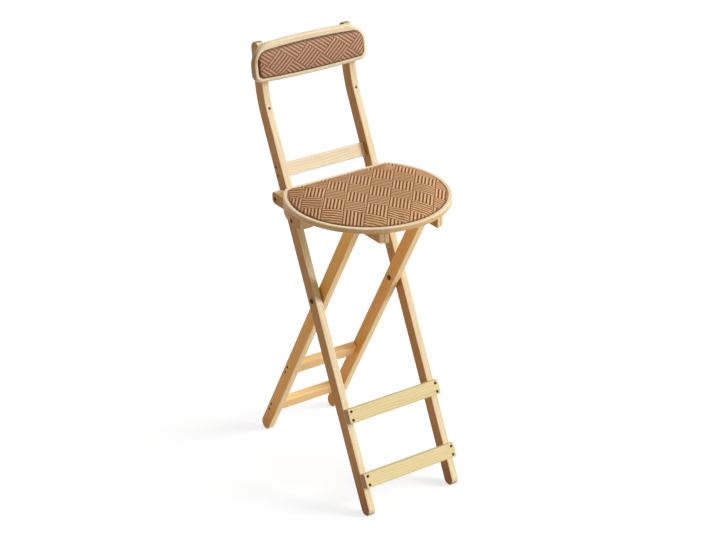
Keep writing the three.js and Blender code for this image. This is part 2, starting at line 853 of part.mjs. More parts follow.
function link({ word, sign }) {
  const outward = acrossX.clone().multiplyScalar(sign);
  const legPivot = new THREE.Vector3(sign * linkOuterX, linkPivotY, pivotHeight);
  const seatPivot = legPivot.clone().setY(seatPivotY);
  const cutters = [
    counterbore(legPivot, outward, boltSunk + restGap),
    boltHole(legPivot, outward, linkThick + overrun),
    boltHole(seatPivot, outward, linkThick + overrun),
  ];
  const blank = extrudeAcross(linkOutline(), linkThick, sign * (linkInnerX + linkThick / 2));
  return piece(`link_${word}`, cut(blank, cutters), honeyWood);
}

// The leg bolt sits in the link's rear end and stops just short of the long leg
function legBolt({ word, sign }) {
  const outward = acrossX.clone().multiplyScalar(sign);
  const origin = new THREE.Vector3(sign * legBoltOuterX, linkPivotY, pivotHeight);
  const reach = legBoltOuterX - linkInnerX - restGap;
  return piece(`leg_bolt_${word}`, boltGeometry(origin, outward, reach, boltRadius, 0), darkSteel);
}

// The stool stands on Z = 0 with its origin under the middle of its footprint
const stool = new THREE.Group();
stool.position.y = -footprintMiddleY;
stool.add(longFrame(), rearFrame(), seat());
for (const side of sides) {
  stool.add(link(side), legBolt(side));
}

export default stool;
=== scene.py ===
"""Looks of a folding bar stool: pale wood frames, dark steel fixings and woven pads."""

import json
import logging
import math
from dataclasses import dataclass, replace
from enum import Enum
from typing import Callable, Sequence

import bmesh
import bpy
import numpy as np
from mathutils import Matrix, Vector

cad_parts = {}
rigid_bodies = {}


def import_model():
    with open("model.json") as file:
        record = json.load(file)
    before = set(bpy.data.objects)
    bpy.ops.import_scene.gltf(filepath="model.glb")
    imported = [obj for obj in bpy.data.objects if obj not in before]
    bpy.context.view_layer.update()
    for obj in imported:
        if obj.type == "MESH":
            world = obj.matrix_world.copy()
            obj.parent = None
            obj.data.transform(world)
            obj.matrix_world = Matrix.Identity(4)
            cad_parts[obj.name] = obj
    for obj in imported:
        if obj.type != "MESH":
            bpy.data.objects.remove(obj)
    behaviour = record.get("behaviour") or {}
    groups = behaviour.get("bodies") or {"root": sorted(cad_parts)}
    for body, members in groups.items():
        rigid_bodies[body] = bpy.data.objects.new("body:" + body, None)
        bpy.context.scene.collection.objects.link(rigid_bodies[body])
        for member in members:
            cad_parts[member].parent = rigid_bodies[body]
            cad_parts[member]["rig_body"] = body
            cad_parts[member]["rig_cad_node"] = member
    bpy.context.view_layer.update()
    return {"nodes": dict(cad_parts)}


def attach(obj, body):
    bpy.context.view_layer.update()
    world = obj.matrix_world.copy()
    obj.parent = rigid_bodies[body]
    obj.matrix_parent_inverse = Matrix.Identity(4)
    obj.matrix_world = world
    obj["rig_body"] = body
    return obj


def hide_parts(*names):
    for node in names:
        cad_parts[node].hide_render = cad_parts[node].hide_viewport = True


log = logging.getLogger("stool")

Tone = tuple[int, int, int]
Colour = tuple[float, float, float, float]
Profile = Sequence[tuple[float, float]]
Shares = tuple[tuple[str, float], ...]

MM = 0.001
HALF_TURN = math.pi
QUARTER_TURN = math.pi / 2
MERGE_DISTANCE = 1e-5
TINY = 1e-6
SEEN_RAYS = ("Is Camera Ray", "Is Glossy Ray", "Is Transmission Ray")
UP = Vector((0, 0, 1))
FRONT = Vector((0, -1, 0))
WHITE = (255, 255, 255)


class Slot(Enum):
    """Material slots of the record, listed with each finish."""

    HONEY = "wood_honey"
    CREAM = "wood_cream"
    CLOTH = "cloth"
    STEEL = "steel"
    RUBBER = "rubber"


class Look(Enum):
    """Finishes of the hard pieces: each one's material, and the slot it belongs to."""

    LONG_LEG = ("honey_wood", Slot.HONEY)
    BOARD = ("cream_wood", Slot.CREAM)
    # The rear legs take a brightened copy of the honey wood: painted light, with lighter painted shade on
    # their wide faces.
    REAR_LEG = ("rear_wood", Slot.HONEY)
    CROSSBAR = ("bar_wood", Slot.CREAM)
    FOOT_REST = ("tread_wood", Slot.CREAM)
    SEAT_RIM = ("seat_wood", Slot.CREAM)
    BLOCK = ("block_wood", Slot.HONEY)
    STEEL = ("dark_steel", Slot.STEEL)
    RUBBER = ("brown_rubber", Slot.RUBBER)


class Body(Enum):
    """The moving bodies of the stool."""

    LONG = "long_frame"
    REAR = "rear_frame"
    SEAT = "seat"
    LINK_LEFT = "link_left"
    LINK_RIGHT = "link_right"


class Grain(Enum):
    """Which coordinates run along, across and through a board."""

    UPRIGHT = (2, 1, 0)
    CROSSWISE = (0, 2, 1)
    BACKWARD = (1, 2, 0)
    LEVEL = (0, 1, 2)


@dataclass(frozen=True)
class Side:
    """One side of the stool: its name and the sign of its X."""

    name: str
    sign: int

    @property
    def out(self) -> Vector:
        """The way out of the stool."""
        return Vector((self.sign, 0, 0))

    def __str__(self) -> str:
        """The name, as pieces and nodes have it."""
        return self.name


SIDES = (Side("left", -1), Side("right", 1))


class Plane(Enum):
    """A drawing plane, given by the directions of its two coordinates."""

    XY = ((1, 0, 0), (0, 1, 0))
    YZ = ((0, 1, 0), (0, 0, 1))
    XZ = ((1, 0, 0), (0, 0, 1))

    @property
    def normal(self) -> Vector:
        """The plane's own direction: up for XY, right for YZ and front for XZ."""
        return Vector(self.value[0]).cross(Vector(self.value[1]))

    def point(self, p: float, q: float, height: float = 0.0) -> Vector:
        """Place of a drawn point in millimetres.

        Args:
            p: First coordinate.
            q: Second coordinate.
            height: Distance along the plane's normal.

        Returns:
            The point in metres.
        """
        first, second = (Vector(axis) for axis in self.value)
        return (first * p + second * q + self.normal * height) * MM


@dataclass(frozen=True)
class Line:
    """A straight stroke to a point."""

    p: float
    q: float


@dataclass(frozen=True)
class Arc:
    """A round stroke about a centre. A positive turn goes from the first axis to the second."""

    p: float
    q: float
    turn: float
    steps: int = 10


@dataclass(frozen=True)
class Outline:
    """A closed drawing: its first point and the strokes that lead back to it."""

    start: tuple[float, float]
    strokes: Sequence[Line | Arc]


@dataclass(frozen=True)
class Space:
    """A space that leans about X, in which a frame's pieces are modelled upright."""

    origin: tuple[float, float, float] = (0.0, 0.0, 0.0)
    lean: float = 0.0
    parent: "Space | None" = None

    @property
    def matrix(self) -> Matrix:
        """Matrix from this space to the stool's own."""
        local = Matrix.Translation(Vector(self.origin) * MM) @ Matrix.Rotation(self.lean, 4, "X")
        return self.parent.matrix @ local if self.parent else local


def srgb(tone: Tone) -> Colour:
    """Turns a display colour into the linear one that shaders take.

    Args:
        tone: Red, green and blue from 0 to 255.

    Returns:
        Linear red, green, blue and full alpha.
    """
    levels = (part / 255 for part in tone)
    linear = (level / 12.92 if level <= 0.04045 else ((level + 0.055) / 1.055) ** 2.4 for level in levels)
    return (*linear, 1.0)


class Signal:
    """A socket of a node, with arithmetic that adds Math nodes."""

    def __init__(self, recipe: "Recipe", socket: bpy.types.NodeSocket) -> None:
        """Keeps the socket and the recipe it belongs to."""
        self.recipe = recipe
        self.socket = socket

    def _math(self, operation: str, *values: "Signal | float") -> "Signal":
        """Adds one Math node."""
        inputs = dict(enumerate(values))
        return self.recipe.add("ShaderNodeMath", {"operation": operation}, inputs)

    def __add__(self, other: "Signal | float") -> "Signal":
        """Sum."""
        return self._math("ADD", self, other)

    __radd__ = __add__

    def __mul__(self, other: "Signal | float") -> "Signal":
        """Product."""
        return self._math("MULTIPLY", self, other)

    __rmul__ = __mul__

    def __sub__(self, other: "Signal | float") -> "Signal":
        """Difference."""
        return self._math("SUBTRACT", self, other)

    def __rsub__(self, other: float) -> "Signal":
        """Difference from a number."""
        return self._math("SUBTRACT", other, self)

    def __abs__(self) -> "Signal":
        """Size without sign."""
        return self._math("ABSOLUTE", self)

    def remainder(self, other: float) -> "Signal":
        """Remainder that is never negative."""
        return self._math("FLOORED_MODULO", self, other)

    def wave(self) -> "Signal":
        """A wave from 0 to 1 over this value in radians."""
        return self._math("SINE", self) * 0.5 + 0.5

    def fraction(self) -> "Signal":
        """Part after the whole number below."""
        return self._math("FRACT", self)

    def floor(self) -> "Signal":
        """Whole number below."""
        return self._math("FLOOR", self)

    def larger(self, other: "Signal | float") -> "Signal":
        """The larger of two values."""
        return self._math("MAXIMUM", self, other)

    def ramp(self, low: float, high: float) -> "Signal":
        """Maps low..high smoothly to 0..1.

        Args:
            low: Where the rise starts.
            high: Where it ends.

        Returns:
            The mapped value.
        """
        settings = {"interpolation_type": "SMOOTHSTEP"}
        return self.recipe.add("ShaderNodeMapRange", settings, {0: self, 1: low, 2: high, 3: 0.0, 4: 1.0})


class Recipe:
    """A material's node tree, filled node by node."""

    def __init__(self, name: str) -> None:
        """Makes the empty material."""
        self.material = bpy.data.materials.new(name)
        self.material.use_nodes = True
        self.tree = self.material.node_tree
        self.tree.nodes.clear()

    def add(
        self, kind: str, settings: dict | None = None, inputs: dict | None = None, output: int | str = 0
    ) -> Signal:
        """Adds one node.

        Args:
            kind: The node's type.
            settings: Its properties, set first.
            inputs: Values or signals for its sockets, by number or name.
            output: The output to hand back.

        Returns:
            That output as a signal.
        """
        node = self.tree.nodes.new(kind)
        for key, value in (settings or {}).items():
            setattr(node, key, value)
        for key, value in (inputs or {}).items():
            if isinstance(value, Signal):
                self.tree.links.new(value.socket, node.inputs[key])
            else:
                node.inputs[key].default_value = value
        return Signal(self, node.outputs[output])

    def place(self) -> Signal:
        """Place on the piece, in metres."""
        return self.add("ShaderNodeTexCoord", output="Object")

    def attribute(self, name: str) -> Signal:
        """Vector that a piece carries on its points or faces under this name."""
        return self.add("ShaderNodeAttribute", {"attribute_name": name}, output="Vector")

    def parts(self, vector: Signal) -> tuple[Signal, Signal, Signal]:
        """The three coordinates of a vector."""
        split = self.tree.nodes.new("ShaderNodeSeparateXYZ")
        self.tree.links.new(vector.socket, split.inputs[0])
        return tuple(Signal(self, socket) for socket in split.outputs)

    def noise(self, vector: Signal, scale: float, detail: float = 2.0, roughness: float = 0.5) -> Signal:
        """Smooth random values over a vector.

        Args:
            vector: Where to read.
            scale: Waves in a unit.
            detail: Octaves.
            roughness: Strength of the finer octaves.

        Returns:
            A value around one half.
        """
        inputs = {"Vector": vector, "Scale": scale, "Detail": detail, "Roughness": roughness}
        return self.add("ShaderNodeTexNoise", {"noise_dimensions": "3D"}, inputs)

    def streaks(
        self, vector: Signal, waves: Sequence[float], detail: float = 2.0, roughness: float = 0.5
    ) -> Signal:
        """Smooth random values drawn out along the coordinates with few waves.

        Args:
            vector: Where to read.
            waves: Waves in a unit along each coordinate.
            detail: Octaves.
            roughness: Strength of the finer octaves.

        Returns:
            A value around one half.
        """
        drawn = self.add("ShaderNodeMapping", {"vector_type": "POINT"}, {"Vector": vector, "Scale": waves})
        return self.noise(drawn, 1.0, detail, roughness)

    def blend(
        self, share: Signal | float, first: Signal | Colour, second: Signal | Colour, mode: str = "MIX"
    ) -> Signal:
        """Mixes two colours.

        Args:
            share: Share of the second colour.
            first: Colour at share 0.
            second: Colour at share 1.
            mode: How they mix.

        Returns:
            The mixed colour.
        """
        settings = {"data_type": "RGBA", "blend_type": mode, "clamp_factor": True}
        return self.add("ShaderNodeMix", settings, {0: share, 6: first, 7: second}, output=2)

    def bump(self, height: Signal, depth: float, strength: float) -> Signal:
        """Normal bent by a height.

        Args:
            height: Height from 0 to 1.
            depth: Metres that 1 stands for.
            strength: How much of it shows.

        Returns:
            The normal.
        """
        inputs = {"Strength": strength, "Distance": depth, "Height": height}
        return self.add("ShaderNodeBump", None, inputs)

    def surface(self, inputs: dict) -> bpy.types.Material:
        """Ends the recipe in one principled shader.

        Args:
            inputs: Values or signals for its sockets by name.

        Returns:
            The finished material.
        """
        shader = self.add("ShaderNodeBsdfPrincipled", None, inputs)
        end = self.tree.nodes.new("ShaderNodeOutputMaterial")
        self.tree.links.new(shader.socket, end.inputs["Surface"])
        return self.material


@dataclass(frozen=True)
class WoodFinish:
    """Pale lacquered wood. Its grain follows the vector "grain" that each piece carries.

    Waves are counted in a metre along, across and through the board. The tints broad, foot and side are
    painted shade: they darken a board's wide faces, those faces near its lowest end, and its narrow faces.
    """

    name: str
    pale: Tone
    warm: Tone
    streak: Tone
    end: Tone
    # Painted shade: broad darkens the wide faces, foot takes its place near the lowest end, side darkens the
    # narrow faces.
    broad: Tone = WHITE
    foot: Tone = WHITE
    side: Tone = WHITE
    end_share: float = 0.85
    roughness: float = 0.33
    band_waves: tuple[float, float, float] = (2.2, 34.0, 34.0)
    wander_waves: tuple[float, float, float] = (3.0, 9.0, 9.0)
    streak_waves: tuple[float, float, float] = (7.0, 310.0, 310.0)
    fibre_waves: tuple[float, float, float] = (26.0, 1500.0, 1500.0)
    pore_waves: tuple[float, float, float] = (110.0, 2300.0, 2300.0)
    worn_waves: tuple[float, float, float] = (30.0, 30.0, 30.0)
    ring_waves: float = 1150.0
    relief_depth: float = 0.00022

    def make(self) -> bpy.types.Material:
        """Builds the material."""
        recipe = Recipe(self.name)
        pale, streak = srgb(self.pale), srgb(self.streak)
        grain = recipe.attribute("grain")
        _, across, thick = recipe.parts(grain)
        bands = recipe.streaks(grain, self.band_waves, 3.0, 0.55)
        wander = recipe.streaks(grain, self.wander_waves)
        rings = ((across * 0.86 + thick * 0.5 + wander * 0.03) * self.ring_waves).wave()
        streaks = recipe.streaks(grain, self.streak_waves, 3.0, 0.6)
        fibres = recipe.streaks(grain, self.fibre_waves, 2.0, 0.6)
        pores = recipe.streaks(grain, self.pore_waves, 1.0)
        flecks = pores.ramp(0.66, 0.74)
        shade = (bands * 0.9 + rings * 0.22 + streaks * 0.42 + fibres * 0.16) - 0.3
        colour = recipe.blend(shade.ramp(0.32, 0.82), pale, srgb(self.warm))
        dark_lines = streaks.ramp(0.58, 0.72) * bands.ramp(0.42, 0.62)
        colour = recipe.blend(dark_lines * 0.5, colour, streak)
        colour = recipe.blend(flecks * 0.4, colour, streak)
        tip, side, face = recipe.parts(recipe.attribute("section"))
        endways, _, broadways = recipe.parts(recipe.attribute("facing"))
        end_colour = recipe.blend(rings * 0.35 + pores.ramp(0.5, 0.7) * 0.4, srgb(self.end), streak)
        # Painted shade: the wide faces are darkened, and more so near the lowest end.
        lowest = 1.0 - tip.ramp(-1.0, -0.7)
        broad_shade_tint = recipe.blend(lowest, srgb(self.broad), srgb(self.foot))
        colour = recipe.blend(broadways.ramp(0.7, 0.96), colour, broad_shade_tint, "MULTIPLY")
        # Painted shade on the narrow faces.
        colour = recipe.blend(1.0 - broadways.ramp(0.2, 0.6), colour, srgb(self.side), "MULTIPLY")
        colour = recipe.blend(endways.ramp(0.5, 0.9) * self.end_share, colour, end_colour)
        edge = abs(side).ramp(0.86, 0.97) * abs(face).ramp(0.8, 0.95)
        worn = edge * recipe.streaks(grain, self.worn_waves, 3.0).ramp(0.45, 0.65)
        inputs = {
            "Base Color": recipe.blend(worn * 0.35, colour, pale),
            "Roughness": streaks * 0.14 + fibres * 0.08 + worn * 0.1 + self.roughness,
            "Normal": recipe.bump(fibres * 0.5 + streaks * 0.5 - flecks * 0.8, self.relief_depth, 0.8),
            "Coat Weight": 0.05,
            "Coat Roughness": 0.3,
            "Specular IOR Level": 0.22,
        }
        return recipe.surface(inputs)


@dataclass(frozen=True)
class Weave:
    """A basket weave: slanted blocks of side-by-side cords that change direction from block to block.

    The two edges of a block and a corner of one are given in millimetres in the pad's own plane.
    """

    first: tuple[float, float]
    second: tuple[float, float]
    corner: tuple[float, float]
    cords: int = 6
    cord_share: float = 0.8
    dip_share: float = 0.06
    dip_floor: float = 0.5

    def flat(self, points: np.ndarray) -> np.ndarray:
        """Counts the blocks from the corner to points in the pad's own plane.

        Args:
            points: Rows of two coordinates in metres.

        Returns:
            Rows of two counts, along the blocks' two edges.
        """
        edges = np.array([self.first, self.second]) * MM
        return (points - np.array(self.corner) * MM) @ np.linalg.inv(edges)

    def relief(self, cells: np.ndarray) -> np.ndarray:
        """Height of the cords, from 0 in the gaps to 1 on top.

        Args:
            cells: Block counts.

        Returns:
            One height for each row.
        """
        whole = np.floor(cells)
        inside = cells - whole
        turned = (whole.sum(axis=1) % 2) > 0.5
        across = np.where(turned, inside[:, 1], inside[:, 0])
        along = np.where(turned, inside[:, 0], inside[:, 1])
        off = np.abs((across * self.cords) % 1 - 0.5) * 2 / self.cord_share
        crown = np.sqrt(np.clip(1 - off**2, 0, 1))
        tip = np.clip((np.abs(along - 0.5) * 2 - 1 + self.dip_share) / self.dip_share, 0, 1)
        return crown * np.sqrt(np.clip(1 - tip**2, self.dip_floor, 1))


@dataclass(frozen=True)
class ClothFinish:
    """Woven paper cord. Each pad carries the vector "weave": two block counts and the edge's distance."""

    name: str
    weave: Weave
    # light: painted highlight on the cords' crowns, which are lighter than their sides.
    light: Tone
    middle: Tone
    # gap: the brown backing between the cords, darkened further as painted shade.
    gap: Tone
    # rim: painted shade near the pad's edge, where it meets the wooden rim.
    rim: Tone
    # Shares of the painted shade between the cords; the second one is for blocks whose cords run the other
    # way.
    gap_share: float = 1.0
    quiet_share: float = 0.6
    twist_waves: float = 150.0
    fuzz_waves: float = 900.0
    patch_waves: float = 9.0
    relief_depth: float = 0.0008

    def make(self) -> bpy.types.Material:
        """Builds the material."""
        recipe = Recipe(self.name)
        place = recipe.place()
        cell_a, cell_b, border = recipe.parts(recipe.attribute("weave"))
        whole_a, whole_b = cell_a.floor(), cell_b.floor()
        turned = (whole_a + whole_b).remainder(2.0)
        inside_a, inside_b = cell_a.fraction(), cell_b.fraction()
        across = inside_a + (inside_b - inside_a) * turned
        along = inside_b + (inside_a - inside_b) * turned
        count = across * float(self.weave.cords)
        off = abs(count.fraction() - 0.5) * 2.0
        tip = abs(along - 0.5) * 2.0
        cord = 1.0 - off.ramp(0.4, 0.84)
        crown = 1.0 - off.ramp(0.0, 0.6)
        dip = 1.0 - tip.ramp(0.93, 1.0)
        twist = (along * self.twist_waves + count.fraction() * 5.0).wave()
        fuzz = recipe.noise(place, self.fuzz_waves, 3.0, 0.6)
        patch = recipe.noise(place, self.patch_waves)
        each_cord = {0: whole_a * 3.1 + count.floor() * 0.37, 1: whole_b * 2.3, 2: turned}
        tone = recipe.noise(recipe.add("ShaderNodeCombineXYZ", None, each_cord), 1.7, 1.0)
        gap_shade_strength = (turned * (self.quiet_share - 1.0) + 1.0) * self.gap_share
        middle = srgb(self.middle)
        # Painted highlight on the cords' crowns.
        colour = recipe.blend(crown * (0.8 + twist * 0.2), middle, srgb(self.light))
        mottle = (tone * 0.5 + patch * 0.3 + fuzz * 0.35).ramp(0.42, 0.8)
        colour = recipe.blend(mottle * 0.3, colour, middle)
        # Painted shade between the cords over their brown backing, deeper where they dip under the next
        # block, and weaker in blocks whose cords run the other way.
        colour = recipe.blend((1.0 - cord * (dip * 0.2 + 0.8)) * gap_shade_strength, colour, srgb(self.gap))
        inputs = {
            # Painted shade near the pad's edge.
            "Base Color": recipe.blend((1.0 - border.ramp(1.5, 6.5)) * 0.75, colour, srgb(self.rim)),
            "Roughness": 0.86 - crown * 0.14 + fuzz * 0.1,
            "Normal": recipe.bump(cord * dip * 0.7 + twist * 0.16 + fuzz * 0.14, self.relief_depth, 0.6),
            "Specular IOR Level": 0.25,
            "Sheen Weight": 0.12,
            "Sheen Roughness": 0.5,
        }
        return recipe.surface(inputs)


@dataclass(frozen=True)
class SteelFinish:
    """Darkened steel with a brushed, slightly worn face."""

    name: str
    dark: Tone
    worn: Tone
    metal: float = 0.85
    scratch_waves: tuple[float, float, float] = (300.0, 2600.0, 900.0)
    relief_depth: float = 0.00006

    def make(self) -> bpy.types.Material:
        """Builds the material."""
        recipe = Recipe(self.name)
        place = recipe.place()
        cloud = recipe.noise(place, 260.0, 4.0, 0.6)
        scratch = recipe.streaks(place, self.scratch_waves, 3.0, 0.7)
        rubbed = (cloud * 0.6 + scratch * 0.5).ramp(0.52, 0.7)
        inputs = {
            "Base Color": recipe.blend(rubbed * 0.6, srgb(self.dark), srgb(self.worn)),
            "Metallic": self.metal,
            "Roughness": 0.34 + cloud * 0.26,
            "Normal": recipe.bump(scratch, self.relief_depth, 0.6),
        }
        return recipe.surface(inputs)


@dataclass(frozen=True)
class RubberFinish:
    """Matt moulded rubber."""

    name: str
    base: Tone
    dusty: Tone
    relief_depth: float = 0.00008

    def make(self) -> bpy.types.Material:
        """Builds the material."""
        recipe = Recipe(self.name)
        place = recipe.place()
        pebble = recipe.noise(place, 2600.0, 2.0, 0.6)
        cloud = recipe.noise(place, 300.0, 3.0)
        inputs = {
            "Base Color": recipe.blend(cloud.ramp(0.45, 0.7) * 0.4, srgb(self.base), srgb(self.dusty)),
            "Roughness": 0.74 + pebble * 0.2,
            "Normal": recipe.bump(pebble, self.relief_depth, 0.6),
            "Specular IOR Level": 0.3,
        }
        return recipe.surface(inputs)


def clear_selection() -> None:
    """Deselects every object."""
    bpy.ops.object.select_all(action="DESELECT")


def fix_in_place() -> None:
    """Moves the selected objects' own placement into their meshes."""
    bpy.ops.object.transform_apply(location=True, rotation=True, scale=True)


def open_mesh(kind: str = "VERT", action: str = "SELECT") -> None:
    """Opens edit mode on the active object.

    Args:
        kind: What is picked there: VERT, EDGE or FACE.
        action: SELECT for all of it, or DESELECT for none.
    """
    bpy.ops.object.mode_set(mode="EDIT")
    bpy.ops.mesh.select_mode(type=kind)
    bpy.ops.mesh.select_all(action=action)


def close_mesh() -> None:
    """Turns all faces outwards and leaves edit mode."""
    bpy.ops.mesh.select_all(action="SELECT")
    bpy.ops.mesh.normals_make_consistent(inside=False)
    bpy.ops.object.mode_set(mode="OBJECT")


def merge_points() -> None:
    """Merges points that lie on each other."""
    bpy.ops.mesh.select_all(action="SELECT")
    bpy.ops.mesh.remove_doubles(threshold=MERGE_DISTANCE)


def draw_on(step: Vector) -> None:
    """Extrudes what is selected by a step in metres."""
    bpy.ops.mesh.extrude_region_move(TRANSFORM_OT_translate={"value": step})


def read_rows(items: bpy.types.bpy_prop_collection, key: str) -> np.ndarray:
    """Reads a property of three numbers from each point or face.

    Args:
        items: The points or faces.
        key: Name of the property.

    Returns:
        One row for each.
    """
    flat = np.zeros(len(items) * 3)
    items.foreach_get(key, flat)
    return flat.reshape(-1, 3)


class Workpiece:
    """One mesh on the bench. Its sizes are given in millimetres."""

    def __init__(self, name: str) -> None:
        """Takes the object that was just made."""
        self.obj = bpy.context.object
        self.obj.name = name
        self.obj.data.name = name

    @classmethod
    def box(cls, name: str, low: Sequence[float], high: Sequence[float]) -> "Workpiece":
        """A squared blank between two corners.

        Args:
            name: Name of the piece.
            low: Lowest corner.
            high: Highest corner.

        Returns:
            The piece.
        """
        clear_selection()
        middle = [(a + b) / 2 * MM for a, b in zip(low, high)]
        size = [(b - a) * MM for a, b in zip(low, high)]
        bpy.ops.mesh.primitive_cube_add(size=1, location=middle, scale=size)
        fix_in_place()
        return cls(name)

    @classmethod
    def _dot(cls, name: str, place: Vector) -> "Workpiece":
        """A single point in edit mode, from which a drawing grows."""
        clear_selection()
        bpy.ops.mesh.primitive_plane_add(size=MM)
        piece = cls(name)
        open_mesh()
        bpy.ops.mesh.merge(type="CENTER")
        bpy.ops.transform.translate(value=place)
        return piece

    @classmethod
    def drawn(cls, name: str, plane: Plane, outline: Outline, base: float, thick: float) -> "Workpiece":
        """A board cut to a drawn outline.

        Args:
            name: Name of the piece.
            plane: Plane of the drawing.
            outline: The drawing.
            base: Where the board starts along the plane's normal.
            thick: Its thickness along the normal.

        Returns:
            The piece.
        """
        piece = cls._dot(name, plane.point(*outline.start, base))
        here = Vector(outline.start)
        for stroke in outline.strokes:
            target = Vector((stroke.p, stroke.q))
            if isinstance(stroke, Line):
                draw_on(plane.point(*(target - here)))
                here = target
            else:
                centre = plane.point(*target, base)
                bpy.ops.mesh.spin(steps=stroke.steps, angle=-stroke.turn, center=centre, axis=plane.normal)
                here = target + Matrix.Rotation(stroke.turn, 2) @ (here - target)
        merge_points()
        bpy.ops.mesh.select_all(action="SELECT")
        bpy.ops.mesh.edge_face_add()
        bpy.ops.mesh.select_all(action="SELECT")
        draw_on(plane.normal * thick * MM)
        close_mesh()
        return piece

    @classmethod
    def turned(cls, name: str, profile: Profile, steps: int) -> "Workpiece":
        """A shape spun about Z from a profile that ends on the axis or closes on itself.

        Args:
            name: Name of the piece.
            profile: Radius and height pairs.
            steps: Faces around.

        Returns:
            The piece.
        """
        here = Plane.XZ.point(*profile[0])
        piece = cls._dot(name, here)
        for radius, height in profile[1:]:
            there = Plane.XZ.point(radius, height)
            draw_on(there - here)
            here = there
        bpy.ops.mesh.select_all(action="SELECT")
        bpy.ops.mesh.spin(steps=steps, angle=2 * HALF_TURN, center=(0, 0, 0), axis=UP)
        merge_points()
        close_mesh()
        return piece

    def activate(self) -> None:
        """Selects this piece alone."""
        clear_selection()
        self.obj.select_set(True)
        bpy.context.view_layer.objects.active = self.obj

    def merge_facing(self, direction: Vector, share: float = 0.97) -> None:
        """Makes one face of all that look one way.

        Args:
            direction: That way.
            share: Least share of a face's normal that points there.
        """
        self.activate()
        open_mesh("FACE", "DESELECT")
        shape = bmesh.from_edit_mesh(self.obj.data)
        for face in shape.faces:
            face.select_set(face.normal.dot(direction) > share)
        bmesh.update_edit_mesh(self.obj.data)
        bpy.ops.mesh.dissolve_faces()
        bpy.ops.object.mode_set(mode="OBJECT")

    def round_front(self, direction: Vector, width: float, segments: int) -> None:
        """Rounds the edges around the face that lies farthest one way.

        Args:
            direction: That way.
            width: Width of the rounding.
            segments: Faces across it.
        """
        self.activate()
        open_mesh("EDGE", "DESELECT")
        shape = bmesh.from_edit_mesh(self.obj.data)
        reach = max(vert.co.dot(direction) for vert in shape.verts) - TINY
        for edge in shape.edges:
            edge.select_set(all(vert.co.dot(direction) > reach for vert in edge.verts))
        bmesh.update_edit_mesh(self.obj.data)
        bpy.ops.mesh.bevel(offset=width * MM, segments=segments, affect="EDGES", clamp_overlap=True)
        bpy.ops.object.mode_set(mode="OBJECT")

    def mirror(self) -> None:
        """Mirrors the piece to the other side of the stool, with its faces outwards."""
        self.activate()
        open_mesh()
        bpy.ops.transform.mirror(constraint_axis=(True, False, False), center_override=(0, 0, 0))
        close_mesh()

    def modify(self, kind: str, **settings: object) -> None:
        """Adds a modifier and applies it.

        Args:
            kind: The modifier's type.
            **settings: Its properties.
        """
        self.activate()
        modifier = self.obj.modifiers.new(kind.title(), kind)
        for key, value in settings.items():
            setattr(modifier, key, value)
        bpy.ops.object.modifier_apply(modifier=modifier.name)

    def ease(self, width: float, angle: float = 48.0) -> None:
        """Rounds every edge sharper than an angle.

        Args:
            width: Width of the rounding.
            angle: Smallest angle that is rounded, in degrees.
        """
        sharp = {"limit_method": "ANGLE", "angle_limit": math.radians(angle)}
        self.modify("BEVEL", width=width * MM, segments=3, use_clamp_overlap=True, **sharp)

    def cut(self, tools: Sequence[bpy.types.Object]) -> None:
        """Takes cutting shapes out of the piece and removes them."""
        clear_selection()
        for tool in tools:
            tool.select_set(True)
        bpy.context.view_layer.objects.active = tools[0]
        if len(tools) > 1:
            bpy.ops.object.join()
        cutter = bpy.context.view_layer.objects.active
        self.modify("BOOLEAN", operation="DIFFERENCE", solver="EXACT", object=cutter)
        bpy.data.objects.remove(cutter)

    def copied(self, name: str, matrix: Matrix) -> "Workpiece":
        """A copy with its own mesh, moved into place.

        Args:
            name: Name of the copy.
            matrix: Where it goes.

        Returns:
            The copy.
        """
        self.activate()
        bpy.ops.object.duplicate(linked=False)
        copy = Workpiece(name)
        copy.obj.matrix_world = matrix @ copy.obj.matrix_world
        fix_in_place()
        return copy

    def drop(self) -> None:
        """Removes the piece."""
        bpy.data.objects.remove(self.obj)

    def move_to(self, space: Space) -> None:
        """Moves the piece from the space it was modelled in to the stool's own."""
        self.obj.matrix_world = space.matrix
        self.activate()
        fix_in_place()

    def points(self) -> np.ndarray:
        """Rows of the mesh's points, in metres."""
        return read_rows(self.obj.data.vertices, "co")

    def put_points(self, rows: np.ndarray) -> None:
        """Moves the mesh's points to rows in metres."""
        self.obj.data.vertices.foreach_set("co", np.ascontiguousarray(rows, dtype=np.float32).ravel())
        self.obj.data.update()

    def carry(self, name: str, rows: np.ndarray, domain: str = "POINT") -> None:
        """Stores a vector on each point or face.

        Args:
            name: Name of the attribute.
            rows: Three numbers for each.
            domain: What carries it: POINT or FACE.
        """
        held = self.obj.data.attributes.new(name, "FLOAT_VECTOR", domain)
        held.data.foreach_set("vector", np.ascontiguousarray(rows, dtype=np.float32).ravel())

    def smooth(self, angle: float = 32.0) -> None:
        """Shades the piece smooth up to an angle, with its large faces flat."""
        self.activate()
        bpy.ops.object.shade_smooth_by_angle(angle=math.radians(angle))
        self.modify("WEIGHTED_NORMAL", keep_sharp=True)


def drill(
    origin: Vector, direction: Vector, radius: float, depth: float, faces: int = 24
) -> bpy.types.Object:
    """A round cutting shape that enters a surface.

    Args:
        origin: Point on the surface, in millimetres.
        direction: The way out of the surface.
        radius: Radius of the hole.
        depth: Depth of the hole.
        faces: Faces around.

    Returns:
        The cutting shape.
    """
    overrun = 3.0
    clear_selection()
    middle = origin + direction * ((overrun - depth) / 2)
    turn = UP.rotation_difference(direction).to_euler()
    sizes = {"vertices": faces, "radius": radius * MM, "depth": (overrun + depth) * MM}
    bpy.ops.mesh.primitive_cylinder_add(location=middle * MM, rotation=turn, **sizes)
    fix_in_place()
    return bpy.context.object


